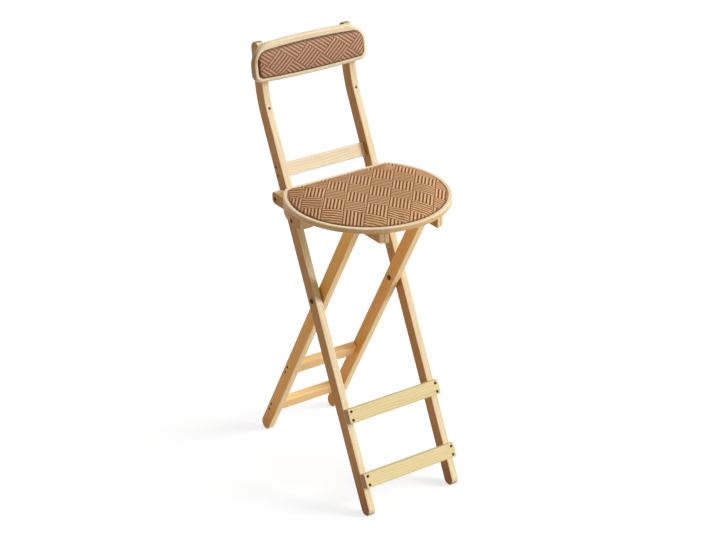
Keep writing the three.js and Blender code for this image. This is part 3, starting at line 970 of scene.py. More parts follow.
@dataclass(frozen=True)
class Fixing:
    """Where a screw or bolt enters: its CAD node, its point on the surface and its way out."""

    node: str
    origin: Vector
    direction: Vector

    def matrix(self, space: Space, sunk: float = 0.0) -> Matrix:
        """Place of a fixing modelled along Z with its surface point at the origin.

        Args:
            space: Space of the origin and direction.
            sunk: How far below the surface point it sits.

        Returns:
            Matrix into the stool's space.
        """
        turn = UP.rotation_difference(self.direction).to_matrix().to_4x4()
        spot = Matrix.Translation((self.origin - self.direction * sunk) * MM)
        return space.matrix @ spot @ turn


@dataclass
class Workshop:
    """Holds the finishes and hands finished pieces to the stool."""

    materials: dict[str, bpy.types.Material]
    grain_shift: tuple[float, float, float] = (0.731, 0.217, 0.113)
    made: int = 0

    def hand_over(self, piece: Workpiece, body: Body, name: str, slot: Slot, node: str) -> None:
        """Puts a finished piece on its body in place of its CAD node.

        Args:
            piece: The piece, in place.
            body: Body that it rides on.
            name: Name of its material.
            slot: Slot that the material belongs to; not used.
            node: CAD node that it stands for.
        """
        piece.obj.data.materials.clear()
        piece.obj.data.materials.append(self.materials[name])
        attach(piece.obj, body.value)
        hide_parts(node)
        self.made += 1
        log.info("%s: %d faces on %s", piece.obj.name, len(piece.obj.data.polygons), body.value)

    def wood(
        self,
        piece: Workpiece,
        grain: Grain,
        space: Space,
        body: Body,
        look: Look,
        node: str,
        straighten: Callable[[np.ndarray], np.ndarray] | None = None,
    ) -> None:
        """Gives a wooden piece its grain, puts it in place and hands it over.

        Args:
            piece: The piece, in the space it was modelled in.
            grain: Which way its grain runs.
            space: That space.
            body: Body that it rides on.
            look: Its finish.
            node: CAD node that it stands for.
            straighten: Turns points of a bent piece into those of a straight one.
        """
        rows = piece.points()
        ordered = (straighten(rows) if straighten else rows)[:, grain.value]
        low, high = ordered.min(axis=0), ordered.max(axis=0)
        centred = ordered - (low + high) / 2
        piece.carry("grain", centred + np.array(self.grain_shift) * (self.made + 1))
        piece.carry("section", centred / ((high - low) / 2))
        piece.carry("facing", np.abs(read_rows(piece.obj.data.polygons, "normal")[:, grain.value]), "FACE")
        piece.move_to(space)
        piece.smooth()
        self.hand_over(piece, body, *look.value, node)


@dataclass
class Hardware:
    """Screws, bolts and washers, modelled along Z and copied into place.

    Rims and domes are rows of two numbers: how far inside the edge or which share of the radius, and how
    far from the head's outer end. Sockets are given by their width and depth.
    """

    shop: Workshop
    screw_head: float = 3.4
    screw_shank: float = 1.9
    screw_recess: float = 0.8
    screw_head_tall: float = 2.2
    screw_rim: Profile = ((0.45, 0.0), (0.12, 0.13), (0.0, 0.45))
    screw_socket: tuple[float, float] = (3.2, 1.3)
    screw_faces: int = 20
    bolt_radius: float = 4.0
    bolt_head: float = 6.0
    bolt_head_tall: float = 2.6
    bolt_recess: float = 1.2
    bolt_slack: float = 0.4
    bolt_dome: Profile = ((0.0, 0.0), (0.55, 0.12), (0.82, 0.55), (0.96, 1.2), (1.0, 1.9))
    nut_dome: Profile = ((1.0, 0.9), (0.82, 0.25), (0.5, 0.0), (0.0, 0.0))
    bolt_socket: tuple[float, float] = (4.6, 1.7)
    bolt_faces: int = 28
    hole_faces: int = 32
    edge_soft: float = 0.2
    washer_radius: float = 10.0
    washer_soft: float = 0.25
    washer_faces: int = 36
    hole_slack: float = 0.3
    part_smooth: float = 40.0

    @property
    def bolt_sunk(self) -> float:
        """Depth of the underside of a bolt's head below the wood."""
        return self.bolt_head_tall + self.bolt_recess

    @staticmethod
    def _socket(piece: Workpiece, size: tuple[float, float], top: float) -> None:
        """Sinks a six-sided drive socket into a head."""
        across, depth = size
        piece.cut([drill(UP * top, UP, across / 2, depth, 6)])

    def screw(self, length: float) -> Workpiece:
        """A flat-headed screw along Z whose surface point is the origin.

        Args:
            length: Depth of its tip below the surface.

        Returns:
            The model screw.
        """
        head, shank, soft = self.screw_head, self.screw_shank, self.edge_soft
        top = -self.screw_recess
        under = top - self.screw_head_tall
        profile = [(0, top), *((head - inset, top - drop) for inset, drop in self.screw_rim)]
        profile += [(head, under + soft), (head - soft, under)]
        profile += [(shank, under), (shank, shank - length), (0, -length)]
        piece = Workpiece.turned("model_screw", profile, self.screw_faces)
        self._socket(piece, self.screw_socket, top)
        return piece

    def bolt(self, reach: float, far_head: bool = True) -> Workpiece:
        """A domed bolt along Z with the underside of its head at the origin.

        Args:
            reach: Length below the head.
            far_head: Whether a second head sits at the far end.

        Returns:
            The model bolt.
        """
        tall, head, soft = self.bolt_head_tall, self.bolt_head, self.edge_soft
        profile = [(head * share, tall - drop) for share, drop in self.bolt_dome]
        profile += [(head, soft), (head - soft, 0), (self.bolt_radius, 0), (self.bolt_radius, -reach)]
        if far_head:
            end = -reach - tall
            profile += [(head - soft, -reach), (head, -reach - soft)]
            profile += [(head * share, end + rise) for share, rise in self.nut_dome]
        else:
            profile.append((0, -reach))
        piece = Workpiece.turned("model_bolt", profile, self.bolt_faces)
        self._socket(piece, self.bolt_socket, tall)
        return piece

    def washer(self, thick: float) -> Workpiece:
        """A flat washer along Z that starts at the origin.

        Args:
            thick: Its thickness.

        Returns:
            The model washer.
        """
        bore, rim, soft = self.bolt_radius + self.bolt_slack, self.washer_radius, self.washer_soft
        lower = [(bore, soft), (bore + soft, 0), (rim - soft, 0), (rim, soft)]
        upper = [(rim, thick - soft), (rim - soft, thick), (bore + soft, thick), (bore, thick - soft)]
        return Workpiece.turned("model_washer", [*lower, *upper, lower[0]], self.washer_faces)

    def place(
        self,
        model: Workpiece,
        name: str,
        fixing: Fixing,
        space: Space,
        body: Body,
        sunk: float = 0.0,
        look: Look = Look.STEEL,
    ) -> None:
        """Copies a model part into place.

        Args:
            model: The part, along Z.
            name: Name of the copy.
            fixing: Where it goes, with the CAD node that it stands for.
            space: Space of the fixing.
            body: Body that it rides on.
            sunk: How far below the surface it sits.
            look: Its finish.
        """
        copy = model.copied(name, fixing.matrix(space, sunk))
        copy.smooth(self.part_smooth)
        self.shop.hand_over(copy, body, *look.value, fixing.node)

    def fit(
        self,
        model: Workpiece,
        kind: str,
        side: Side,
        origin: Vector,
        space: Space,
        body: Body,
        sunk: float = 0.0,
    ) -> None:
        """Fits one side's bolt or washer, with its head out of the stool.

        Args:
            model: The part, along Z.
            kind: What it is, as its name and node have it.
            side: Side of the stool.
            origin: Point on the surface that it enters.
            space: Space of the origin.
            body: Body that it rides on.
            sunk: How far below the surface it sits.
        """
        self.place(model, f"{side}_{kind}", Fixing(f"{kind}_{side}", origin, side.out), space, body, sunk)

    def screws(self, fixings: Sequence[Fixing], length: float, space: Space, body: Body) -> None:
        """Drives one screw at each fixing.

        Args:
            fixings: Where they enter.
            length: Depth of their tips.
            space: Space of the fixings.
            body: Body that they ride on.
        """
        model = self.screw(length)
        for fixing in fixings:
            self.place(model, "driven_" + fixing.node, fixing, space, body)
        model.drop()

    def holes(self, fixings: Sequence[Fixing]) -> list[bpy.types.Object]:
        """Cutting shapes for the heads of screws."""
        depth = self.screw_recess + self.screw_head_tall + self.hole_slack
        return [drill(f.origin, f.direction, self.screw_head + self.hole_slack, depth) for f in fixings]

    def bolt_hole(self, origin: Vector, direction: Vector, depth: float) -> bpy.types.Object:
        """Cutting shape for the head of a bolt."""
        return drill(origin, direction, self.bolt_head + self.bolt_slack, depth, self.hole_faces)


@dataclass
class Stand:
    """Sizes that the frames, the seat and the links share, in millimetres."""

    frame_width: float = 252.0
    leg_thick: float = 18.0
    leg_deep: float = 32.0
    frame_gap: float = 3.0
    foot_flat: float = 10.0
    foot_steps: int = 14
    end_steps: int = 28
    crossing_height: float = 455.0
    long_lean: float = math.radians(25.73)
    rear_lean: float = math.radians(29.12)
    pivot_height: float = 673.4
    ease: float = 1.9
    rest_gap: float = 0.3
    link_gap: float = 1.5
    batten_gap: float = 2.3
    batten_thick: float = 20.3
    bar_thick: float = 18.0
    bar_tall: float = 34.0
    screw_pitch: float = 20.0
    screw_length: float = 38.0

    @property
    def half(self) -> float:
        """Half of a leg's depth."""
        return self.leg_deep / 2

    @property
    def long_x(self) -> float:
        """Middle of the right long leg."""
        return (self.frame_width - self.leg_thick) / 2

    @property
    def rear_x(self) -> float:
        """Middle of the right rear leg."""
        return self.long_x - self.leg_thick - self.frame_gap

    @property
    def rear_inner(self) -> float:
        """Inner face of the right rear leg."""
        return self.rear_x - self.leg_thick / 2

    @property
    def link_inner(self) -> float:
        """Inner face of the right link."""
        return self.frame_width / 2 + self.link_gap

    @property
    def pivot_rise(self) -> float:
        """Height of the seat's and the links' pivots above the crossing."""
        return self.pivot_height - self.crossing_height

    @property
    def foot_drop(self) -> float:
        """Height from the crossing down to the centre of the feet's rounding."""
        return self.crossing_height - math.sqrt(self.half**2 - (self.foot_flat / 2) ** 2)

    @property
    def middle_y(self) -> float:
        """How far behind the crossing the middle of the footprint lies."""
        front = self.foot_drop * math.tan(self.long_lean)
        rear = self.foot_drop * math.tan(self.rear_lean)
        return (rear - front) / 2

    def space(self, lean: float) -> Space:
        """Space of a frame that leans about the crossing."""
        return Space((0.0, -self.middle_y, self.crossing_height), lean)

    def reach(self, lean: float) -> float:
        """Length along a leg from the crossing down to the centre of its foot's rounding."""
        return self.foot_drop / math.cos(lean)

    def foot(self, lean: float) -> Outline:
        """Foot of a leg, from its front face round to its back face.

        Args:
            lean: How far the leg leans back, in radians.

        Returns:
            The part of the leg's outline.
        """
        foot_z = -self.reach(lean)
        flat = math.asin(self.foot_flat / 2 / self.half)
        down = lean - QUARTER_TURN
        after = down + flat
        strokes = [
            Arc(0, foot_z, down - flat + HALF_TURN, self.foot_steps),
            Line(self.half * math.cos(after), foot_z + self.half * math.sin(after)),
            Arc(0, foot_z, -after, self.foot_steps),
        ]
        return Outline((-self.half, foot_z), strokes)

    def pair(self, node: str, x: float, y: float, middle: float, direction: Vector) -> list[Fixing]:
        """Two screws, one above the other along a leg.

        Args:
            node: Start of their CAD names.
            x: Where they enter across the stool.
            y: Where they enter from front to back.
            middle: Height half way between them.
            direction: The way out.

        Returns:
            Both fixings.
        """
        steps = enumerate((self.screw_pitch / 2, -self.screw_pitch / 2), 1)
        return [Fixing(f"{node}_{n}", Vector((x, y, middle + step)), direction) for n, step in steps]


@dataclass
class Maker:
    """Makes one group of pieces."""

    shop: Workshop
    hardware: Hardware
    stand: Stand

    def rail(self, name: str, half: float, back: float, middle: float, tall: float) -> Workpiece:
        """A squared bar across the stool, with its edges eased.

        Args:
            name: Name of the piece.
            half: Half of its length.
            back: Its back face.
            middle: Height of its middle.
            tall: Its height.

        Returns:
            The piece.
        """
        low, high = (-half, back - self.stand.bar_thick, middle - tall / 2), (half, back, middle + tall / 2)
        piece = Workpiece.box(name, low, high)
        piece.ease(self.stand.ease)
        return piece

    def leg_blank(self, name: str, middle: float, outline: Outline) -> Workpiece:
        """A leg cut to its outline, with its edges eased.

        Args:
            name: Name of the piece.
            middle: Where its middle lies across the stool.
            outline: Its outline from the side.

        Returns:
            The piece.
        """
        thick = self.stand.leg_thick
        piece = Workpiece.drawn(name, Plane.YZ, outline, middle - thick / 2, thick)
        piece.ease(self.stand.ease)
        return piece


@dataclass
class LongFrame(Maker):
    """The frame that leans back from the front feet to the backrest."""

    bend_height: float = 875.0
    bend_radius: float = 260.0
    bend_steps: int = 16
    post_lean: float = math.radians(8.7)
    post_rise: float = 130.0
    rest_shares: Shares = (("upper", 0.5551), ("lower", 0.8644))
    slat_tall: float = 32.0
    slat_share: float = 0.6456
    panel_tall: float = 92.9
    panel_past_post: float = 1.9
    panel_screw_shares: tuple[float, float] = (0.2366, 0.6882)
    button_up_bend: float = 14.7
    button_faces: int = 24
    button: Profile = ((0, 1.8), (1.3, 1.75), (2.2, 1.45), (2.8, 0.9), (3.0, 0.3), (3.0, 0), (0, 0))

    @property
    def space(self) -> Space:
        """Space of the straight part of the long legs."""
        return self.stand.space(-self.stand.long_lean)

    @property
    def reach(self) -> float:
        """Length from the crossing down to the centre of a foot's rounding."""
        return self.stand.reach(self.stand.long_lean)

    @property
    def bend_turn(self) -> float:
        """How far the upper ends turn forward."""
        return self.stand.long_lean - self.post_lean

    @property
    def bend_corner(self) -> float:
        """Where the straight lines of the bend meet."""
        return (self.bend_height - self.stand.crossing_height) / math.cos(self.stand.long_lean)

    @property
    def bend_start(self) -> float:
        """Where the bend starts."""
        return self.bend_corner - self.bend_radius * math.tan(self.bend_turn / 2)

    @property
    def bend(self) -> Space:
        """Space of the bent upper ends, within that of the straight part."""
        return Space((0.0, 0.0, self.bend_corner), self.bend_turn)

    @property
    def post_space(self) -> Space:
        """Space of the bent upper ends."""
        return Space((0.0, 0.0, self.bend_corner), self.bend_turn, self.space)

    @property
    def post_straight(self) -> float:
        """Length of the straight end above the bend, up to its rounding's centre."""
        lean = self.stand.long_lean
        end_y = self.bend_radius * (math.cos(self.bend_turn) - 1)
        end_z = self.bend_start + self.bend_radius * math.sin(self.bend_turn)
        height = self.stand.crossing_height + end_z * math.cos(lean) - end_y * math.sin(lean)
        top = self.bend_height + self.post_rise
        return (top - self.stand.half - height) / math.cos(self.post_lean)

    @property
    def panel_crown(self) -> float:
        """Height of the backrest's highest point above the bend, along the posts."""
        return self.post_rise / math.cos(self.post_lean) + self.panel_past_post

    @property
    def panel_bottom(self) -> float:
        """Height of the backrest's lower edge above the bend."""
        return self.panel_crown - self.panel_tall

    @property
    def slat_rise(self) -> float:
        """Height of the slat above the crossing, along the legs."""
        return self.slat_share * self.bend_corner

    def straighten(self, rows: np.ndarray) -> np.ndarray:
        """Unrolls the bend so that the grain follows it.

        Args:
            rows: Points of a long leg in its own space, in metres.

        Returns:
            The points as they would be on a straight leg.
        """
        radius, start = self.bend_radius * MM, self.bend_start * MM
        y, z = rows[:, 1] + radius, rows[:, 2] - start
        angle = np.clip(np.arctan2(z, y), 0, self.bend_turn)
        outward = y * np.cos(angle) + z * np.sin(angle) - radius
        beyond = z * np.cos(angle) - y * np.sin(angle)
        return np.column_stack([rows[:, 0], outward, start + radius * angle + beyond])

    def slat_screws(self, side: Side) -> list[Fixing]:
        """Screws through a long leg into the slat."""
        x, y = side.sign * self.stand.frame_width / 2, self.stand.half - self.stand.bar_thick / 2
        return self.stand.pair(f"back_slat_screw_{side}", x, y, self.slat_rise, side.out)

    def rest_screws(self, side: Side, word: str, share: float) -> list[Fixing]:
        """Screws through a foot rest into a long leg."""
        x, y = side.sign * self.stand.long_x, -self.stand.half - self.stand.rest_gap - self.stand.bar_thick
        return self.stand.pair(f"foot_rest_screw_{word}_{side}", x, y, -share * self.reach, FRONT)

    def panel_screws(self, side: Side) -> list[Fixing]:
        """Screws from behind through a post into the backrest, in the posts' space."""
        found = []
        for number, share in enumerate(self.panel_screw_shares, 1):
            height = self.panel_bottom + share * self.panel_tall
            origin = Vector((side.sign * self.stand.long_x, self.stand.half, height))
            found.append(Fixing(f"backrest_screw_{side}_{number}", origin, -FRONT))
        return found

    def leg(self, side: Side) -> None:
        """Builds one bent leg."""
        half, turn, radius, start = self.stand.half, self.bend_turn, self.bend_radius, self.bend_start
        foot = self.stand.foot(self.stand.long_lean)
        sine, cosine = math.sin(turn), math.cos(turn)
        top_y = radius * (cosine - 1) - self.post_straight * sine
        top_z = start + radius * sine + self.post_straight * cosine
        strokes = [
            *foot.strokes,
            Line(half, start),
            Arc(-radius, start, turn, self.bend_steps),
            Line(top_y + half * cosine, top_z + half * sine),
            Arc(top_y, top_z, HALF_TURN, self.stand.end_steps),
            Line(-radius + (radius - half) * cosine, start + (radius - half) * sine),
            Arc(-radius, start, -turn, self.bend_steps),
            Line(*foot.start),
        ]
        middle = side.sign * self.stand.long_x
        piece = self.leg_blank(f"{side}_long_leg", middle, Outline(foot.start, strokes))
        lower = self.hardware.holes(self.slat_screws(side))
        upper = self.hardware.holes(self.panel_screws(side))
        for cutter in upper:
            cutter.data.transform(self.bend.matrix)
        piece.cut(lower + upper)
        node = f"long_leg_{side}"
        self.shop.wood(piece, Grain.UPRIGHT, self.space, Body.LONG, Look.LONG_LEG, node, self.straighten)

    def foot_rest(self, word: str, share: float) -> None:
        """Builds one foot rest across the front of the long legs."""
        stand = self.stand
        half, back = stand.frame_width / 2, -stand.half - stand.rest_gap
        piece = self.rail(f"{word}_foot_rest", half, back, -share * self.reach, stand.bar_tall)
        piece.cut(self.hardware.holes([f for side in SIDES for f in self.rest_screws(side, word, share)]))
        self.shop.wood(piece, Grain.CROSSWISE, self.space, Body.LONG, Look.FOOT_REST, f"foot_rest_{word}")

    def slat(self) -> None:
        """Builds the slat between the long legs above the seat."""
        stand = self.stand
        half = stand.frame_width / 2 - stand.leg_thick - stand.rest_gap
        piece = self.rail("slat", half, stand.half, self.slat_rise, self.slat_tall)
        self.shop.wood(piece, Grain.CROSSWISE, self.space, Body.LONG, Look.BOARD, "back_slat")

    def stop_button(self, side: Side) -> None:
        """Builds the rubber button that the folded seat rests on."""
        face = self.bend_radius - self.stand.half
        angle = self.button_up_bend / face
        inward = Vector((0, -math.cos(angle), -math.sin(angle)))
        origin = Vector((side.sign * self.stand.long_x, -self.bend_radius, self.bend_start))
        origin += inward * (self.stand.rest_gap - face)
        model = Workpiece.turned("model_button", self.button, self.button_faces)
        spot = Fixing(f"stop_button_{side}", origin, inward)
        self.hardware.place(model, f"{side}_stop_button", spot, self.space, Body.LONG, look=Look.RUBBER)
        model.drop()

    def build(self) -> None:
        """Builds the whole frame apart from the backrest panel."""
        stand = self.stand
        for side in SIDES:
            self.leg(side)
            self.stop_button(side)
            rests = [f for word, share in self.rest_shares for f in self.rest_screws(side, word, share)]
            self.hardware.screws(self.slat_screws(side), stand.screw_length, self.space, Body.LONG)
            self.hardware.screws(rests, stand.screw_length, self.space, Body.LONG)
        for word, share in self.rest_shares:
            self.foot_rest(word, share)
        self.slat()
        bolt = self.hardware.bolt(2 * stand.rest_gap + 2 * stand.leg_thick + stand.frame_gap)
        for side in SIDES:
            origin = side.out * (stand.frame_width / 2 + stand.rest_gap)
            self.hardware.fit(bolt, "crossing_bolt", side, origin, self.space, Body.LONG)
        bolt.drop()


@dataclass
class PadForm:
    """How a pad is puffed and woven, in millimetres."""

    voxel: float
    pressure: float
    cap: float
    relief: float
    shrink: float = 0.999
    frames: int = 20
    levels: int = 2
    held: float = 4.5
    plain_rim: float = 1.5
    fade: float = 5.0
    fill: float = 0.7


@dataclass
class WovenPad:
    """A thin stuffed pad under a woven cover, puffed by a cloth simulation."""

    shop: Workshop
    node: str
    name: str
    space: Space
    face: Vector
    plane: tuple[int, int]
    body: Body
    cloth: ClothFinish
    form: PadForm

    def _blank(self, source: bpy.types.Object) -> Workpiece:
        """Copies the CAD pad into its own space, merged and a little smaller."""
        clear_selection()
        blank = source.copy()
        blank.data = source.data.copy()
        blank.parent = None
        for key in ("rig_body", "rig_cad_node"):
            if key in blank:
                del blank[key]
        bpy.context.scene.collection.objects.link(blank)
        bpy.context.view_layer.objects.active = blank
        blank.select_set(True)
        piece = Workpiece(self.name)
        blank.data.transform(self.space.matrix.inverted())
        open_mesh()
        merge_points()
        close_mesh()
        rows = piece.points()
        middle = (rows.min(axis=0) + rows.max(axis=0)) / 2
        shrink = np.where(np.abs(np.array(self.face)) > 0.5, 1.0, self.form.shrink)
        piece.put_points(middle + (rows - middle) * shrink)
        return piece

    def _puff(self, piece: Workpiece) -> None:
        """Lets pressure swell the cover while its underside is held."""
        rows = piece.points()
        height = rows @ np.array(self.face)
        held = piece.obj.vertex_groups.new(name="held")
        shares = 1.0 - np.clip((height - height.min()) / (self.form.held * MM), 0.0, 1.0)
        for number, share in enumerate(shares):
            if share > 0:
                held.add([number], share, "REPLACE")
        piece.activate()
        cloth = piece.obj.modifiers.new("Cloth", "CLOTH")
        settings = {
            "quality": 6,
            "mass": 0.2,
            "tension_stiffness": 12,
            "compression_stiffness": 12,
            "bending_stiffness": 1.5,
            "use_pressure": True,
            "uniform_pressure_force": self.form.pressure,
            "vertex_group_mass": held.name,
        }
        for key, value in settings.items():
            setattr(cloth.settings, key, value)
        cloth.settings.effector_weights.gravity = 0.0
        cloth.collision_settings.use_collision = False
        cloth.point_cache.frame_start = 1
        cloth.point_cache.frame_end = self.form.frames
        scene = bpy.context.scene
        for number in range(1, self.form.frames + 1):
            scene.frame_set(number)
        depsgraph = bpy.context.evaluated_depsgraph_get()
        swollen = piece.obj.evaluated_get(depsgraph).to_mesh()
        step = read_rows(swollen.vertices, "co") - rows
        piece.obj.evaluated_get(depsgraph).to_mesh_clear()
        length = np.linalg.norm(step, axis=1, keepdims=True)
        limit = self.form.cap * MM
        step *= np.minimum(1.0, limit / np.maximum(length, TINY))
        piece.obj.modifiers.remove(cloth)
        piece.put_points(rows + step)
        scene.frame_set(1)
        log.info("%s: puffed by up to %.1f mm", self.name, float(np.minimum(length, limit).max() / MM))

    def _raise_cords(self, piece: Workpiece, edge: Callable[[np.ndarray], np.ndarray]) -> None:
        """Moves the cover's points out along the weave's relief, and stores the weave's coordinates.

        Args:
            piece: The cover.
            edge: Distance of each point from the pad's edge, in millimetres.
        """
        rows = piece.points()
        flat = self.cloth.weave.flat(rows[:, self.plane])
        facing = np.clip(read_rows(piece.obj.data.vertices, "normal") @ np.array(self.face), 0, 1)
        inside = edge(rows)
        fade = np.clip((inside - self.form.plain_rim) / self.form.fade, 0, 1)
        lift = (self.cloth.weave.relief(flat) - 0.5) * self.form.relief * MM * facing * fade
        piece.put_points(rows + np.array(self.face) * lift[:, None])
        piece.carry("weave", np.column_stack([flat, inside]))

    def build(self, source: bpy.types.Object, edge: Callable[[np.ndarray], np.ndarray]) -> None:
        """Builds the pad and hands it over.

        Args:
            source: The CAD pad.
            edge: Distance of each point from the pad's edge, in millimetres.
        """
        piece = self._blank(source)
        piece.modify("REMESH", mode="VOXEL", voxel_size=self.form.voxel * MM)
        piece.modify("SMOOTH", factor=0.5, iterations=4)
        self._puff(piece)
        piece.obj.vertex_groups.clear()
        levels = self.form.levels
        piece.modify("SUBSURF", levels=levels, render_levels=levels)
        piece.merge_facing(-self.face)
        self._raise_cords(piece, edge)
        piece.move_to(self.space)
        bpy.ops.object.shade_smooth()
        self.shop.hand_over(piece, self.body, self.cloth.name, Slot.CLOTH, self.node)


@dataclass
class Backrest(Maker):
    """The arched panel on the posts, with its woven insert."""

    frame: LongFrame
    half_width: float = 150.0
    crown_radius: float = 1700.0
    bow_radius: float = 2800.0
    top_corner: float = 50.0
    bottom_corner: float = 20.0
    thick: float = 16.0
    pocket: float = 5.0
    side_rim: float = 9.5
    top_rim: float = 14.4
    insert_top_corner: float = 28.0
    insert_bottom_corner: float = 13.0
    front_round: float = 6.4
    front_segments: int = 5
    ease: float = 1.3
    ease_angle: float = 60.0
    overrun: float = 3.0
    screw_length: float = 40.3
    top_steps: int = 48
    bow_steps: int = 32
    top_corner_steps: int = 14

    def outline(self, inset: float, crown: float, top: float, low: float) -> Outline:
        """An outline with a round top, a bowed lower edge and rounded corners.

        Args:
            inset: How far inside the panel's sides and lower edge it runs.
            crown: Height of its top's middle.
            top: Radius of the upper corners.
            low: Radius of the lower corners.

        Returns:
            The outline.
        """
        half, radius = self.half_width - inset, self.crown_radius
        bow_centre = self.frame.panel_bottom + inset + self.bow_radius
        low_x = half - low
        low_z = bow_centre - math.sqrt((self.bow_radius - low) ** 2 - low_x**2)
        bow_turn = math.asin(low_x / (self.bow_radius - low))
        centre = crown - radius
        top_x = half - top
        top_z = centre + math.sqrt((radius - top) ** 2 - top_x**2)
        shoulder = math.atan2(top_z - centre, top_x)
        strokes = [
            Arc(-low_x, low_z, QUARTER_TURN - bow_turn),
            Arc(0, bow_centre, 2 * bow_turn, self.bow_steps),
            Arc(low_x, low_z, QUARTER_TURN - bow_turn),
            Line(half, top_z),
            Arc(top_x, top_z, shoulder, self.top_corner_steps),
            Arc(0, centre, HALF_TURN - 2 * shoulder, self.top_steps),
            Arc(-top_x, top_z, shoulder, self.top_corner_steps),
            Line(-half, low_z),
        ]
        return Outline((-half, low_z), strokes)

    def board(self) -> None:
        """Builds the wooden panel with its pocket."""
        crown, base = self.frame.panel_crown, self.stand.half + self.stand.rest_gap
        edge = self.outline(0.0, crown, self.top_corner, self.bottom_corner)
        piece = Workpiece.drawn("backrest_panel", Plane.XZ, edge, base, self.thick)
        piece.round_front(FRONT, self.front_round, self.front_segments)
        insert = self.outline(
            self.side_rim, crown - self.top_rim, self.insert_top_corner, self.insert_bottom_corner
        )
        floor = base + self.thick - self.pocket
        cutter = Workpiece.drawn("pocket_cutter", Plane.XZ, insert, floor, self.pocket + self.overrun)
        piece.cut([cutter.obj])
        piece.ease(self.ease, self.ease_angle)
        space = self.frame.post_space
        self.shop.wood(piece, Grain.CROSSWISE, space, Body.LONG, Look.BOARD, "backrest_board")

    def edge_distance(self, rows: np.ndarray) -> np.ndarray:
        """Distance of points from the insert's edge, in millimetres."""
        across, up = rows[:, 0] / MM, rows[:, 2] / MM
        side = self.half_width - self.side_rim - np.abs(across)
        bow_centre = self.frame.panel_bottom + self.side_rim + self.bow_radius
        low = self.bow_radius - np.hypot(across, up - bow_centre)
        centre = self.frame.panel_crown - self.top_rim - self.crown_radius
        high = self.crown_radius - np.hypot(across, up - centre)
        return np.minimum(np.minimum(side, low), high)

    def build(self, pad: bpy.types.Object, cloth: ClothFinish, form: PadForm) -> None:
        """Builds the panel, its screws and its pad.

        Args:
            pad: The CAD pad.
            cloth: The woven cover.
            form: How the pad is puffed.
        """
        self.board()
        space = self.frame.post_space
        for side in SIDES:
            self.hardware.screws(self.frame.panel_screws(side), self.screw_length, space, Body.LONG)
        cushion = WovenPad(
            self.shop, "backrest_pad", "backrest_cushion", space, FRONT, (0, 2), Body.LONG, cloth, form
        )
        cushion.build(pad, self.edge_distance)


@dataclass
class RearFrame(Maker):
    """The frame that crosses the long one and carries the seat."""

    bar_shares: Shares = (("upper", 0.5701), ("lower", 0.878))

    @property
    def space(self) -> Space:
        """Space of the rear legs."""
        return self.stand.space(self.stand.rear_lean)

    @property
    def reach(self) -> float:
        """Length from the crossing down to the centre of a foot's rounding."""
        return self.stand.reach(self.stand.rear_lean)

    @property
    def arm(self) -> float:
        """Length from the crossing up to the seat's pivot."""
        return self.stand.pivot_rise / math.cos(self.stand.rear_lean)

    @property
    def outer_x(self) -> float:
        """Outer face of the right rear leg."""
        return self.stand.rear_x + self.stand.leg_thick / 2

    def pivot(self, side: Side) -> Vector:
        """Where a leg's outer face meets the axis of the seat's pivot."""
        return Vector((side.sign * self.outer_x, 0, self.arm))

    def bar_screws(self, side: Side) -> list[Fixing]:
        """Screws through a rear leg into both crossbars."""
        found = []
        x, y = side.sign * self.outer_x, self.stand.half - self.stand.bar_thick / 2
        for word, share in self.bar_shares:
            found += self.stand.pair(f"crossbar_screw_{word}_{side}", x, y, -share * self.reach, side.out)
        return found

    def leg(self, side: Side) -> None:
        """Builds one rear leg."""
        half, arm = self.stand.half, self.arm
        foot = self.stand.foot(-self.stand.rear_lean)
        end = Arc(0, arm, HALF_TURN, self.stand.end_steps)
        strokes = [*foot.strokes, Line(half, arm), end, Line(*foot.start)]
        middle = side.sign * self.stand.rear_x
        piece = self.leg_blank(f"{side}_rear_leg", middle, Outline(foot.start, strokes))
        cutters = self.hardware.holes(self.bar_screws(side))
        cutters.append(self.hardware.bolt_hole(self.pivot(side), side.out, self.hardware.bolt_sunk))
        piece.cut(cutters)
        self.shop.wood(piece, Grain.UPRIGHT, self.space, Body.REAR, Look.REAR_LEG, f"rear_leg_{side}")

    def crossbar(self, word: str, share: float) -> None:
        """Builds one crossbar between the rear legs."""
        stand = self.stand
        half, middle = stand.rear_inner - stand.rest_gap, -share * self.reach
        piece = self.rail(f"{word}_crossbar", half, stand.half, middle, stand.bar_tall)
        self.shop.wood(piece, Grain.CROSSWISE, self.space, Body.REAR, Look.CROSSBAR, f"rear_crossbar_{word}")

    def build(self) -> None:
        """Builds the whole frame."""
        stand, gap = self.stand, self.stand.rest_gap
        for side in SIDES:
            self.leg(side)
            self.hardware.screws(self.bar_screws(side), stand.screw_length, self.space, Body.REAR)
        for word, share in self.bar_shares:
            self.crossbar(word, share)
        washer = self.hardware.washer(stand.frame_gap - 2 * gap)
        sunk = self.hardware.bolt_sunk - gap
        bolt = self.hardware.bolt(stand.leg_thick - sunk + stand.batten_gap + stand.batten_thick + gap)
        for side in SIDES:
            origin = side.out * (self.outer_x + gap)
            self.hardware.fit(washer, "crossing_washer", side, origin, self.space, Body.REAR)
            self.hardware.fit(bolt, "seat_bolt", side, self.pivot(side), self.space, Body.REAR, sunk)
        washer.drop()
        bolt.drop()


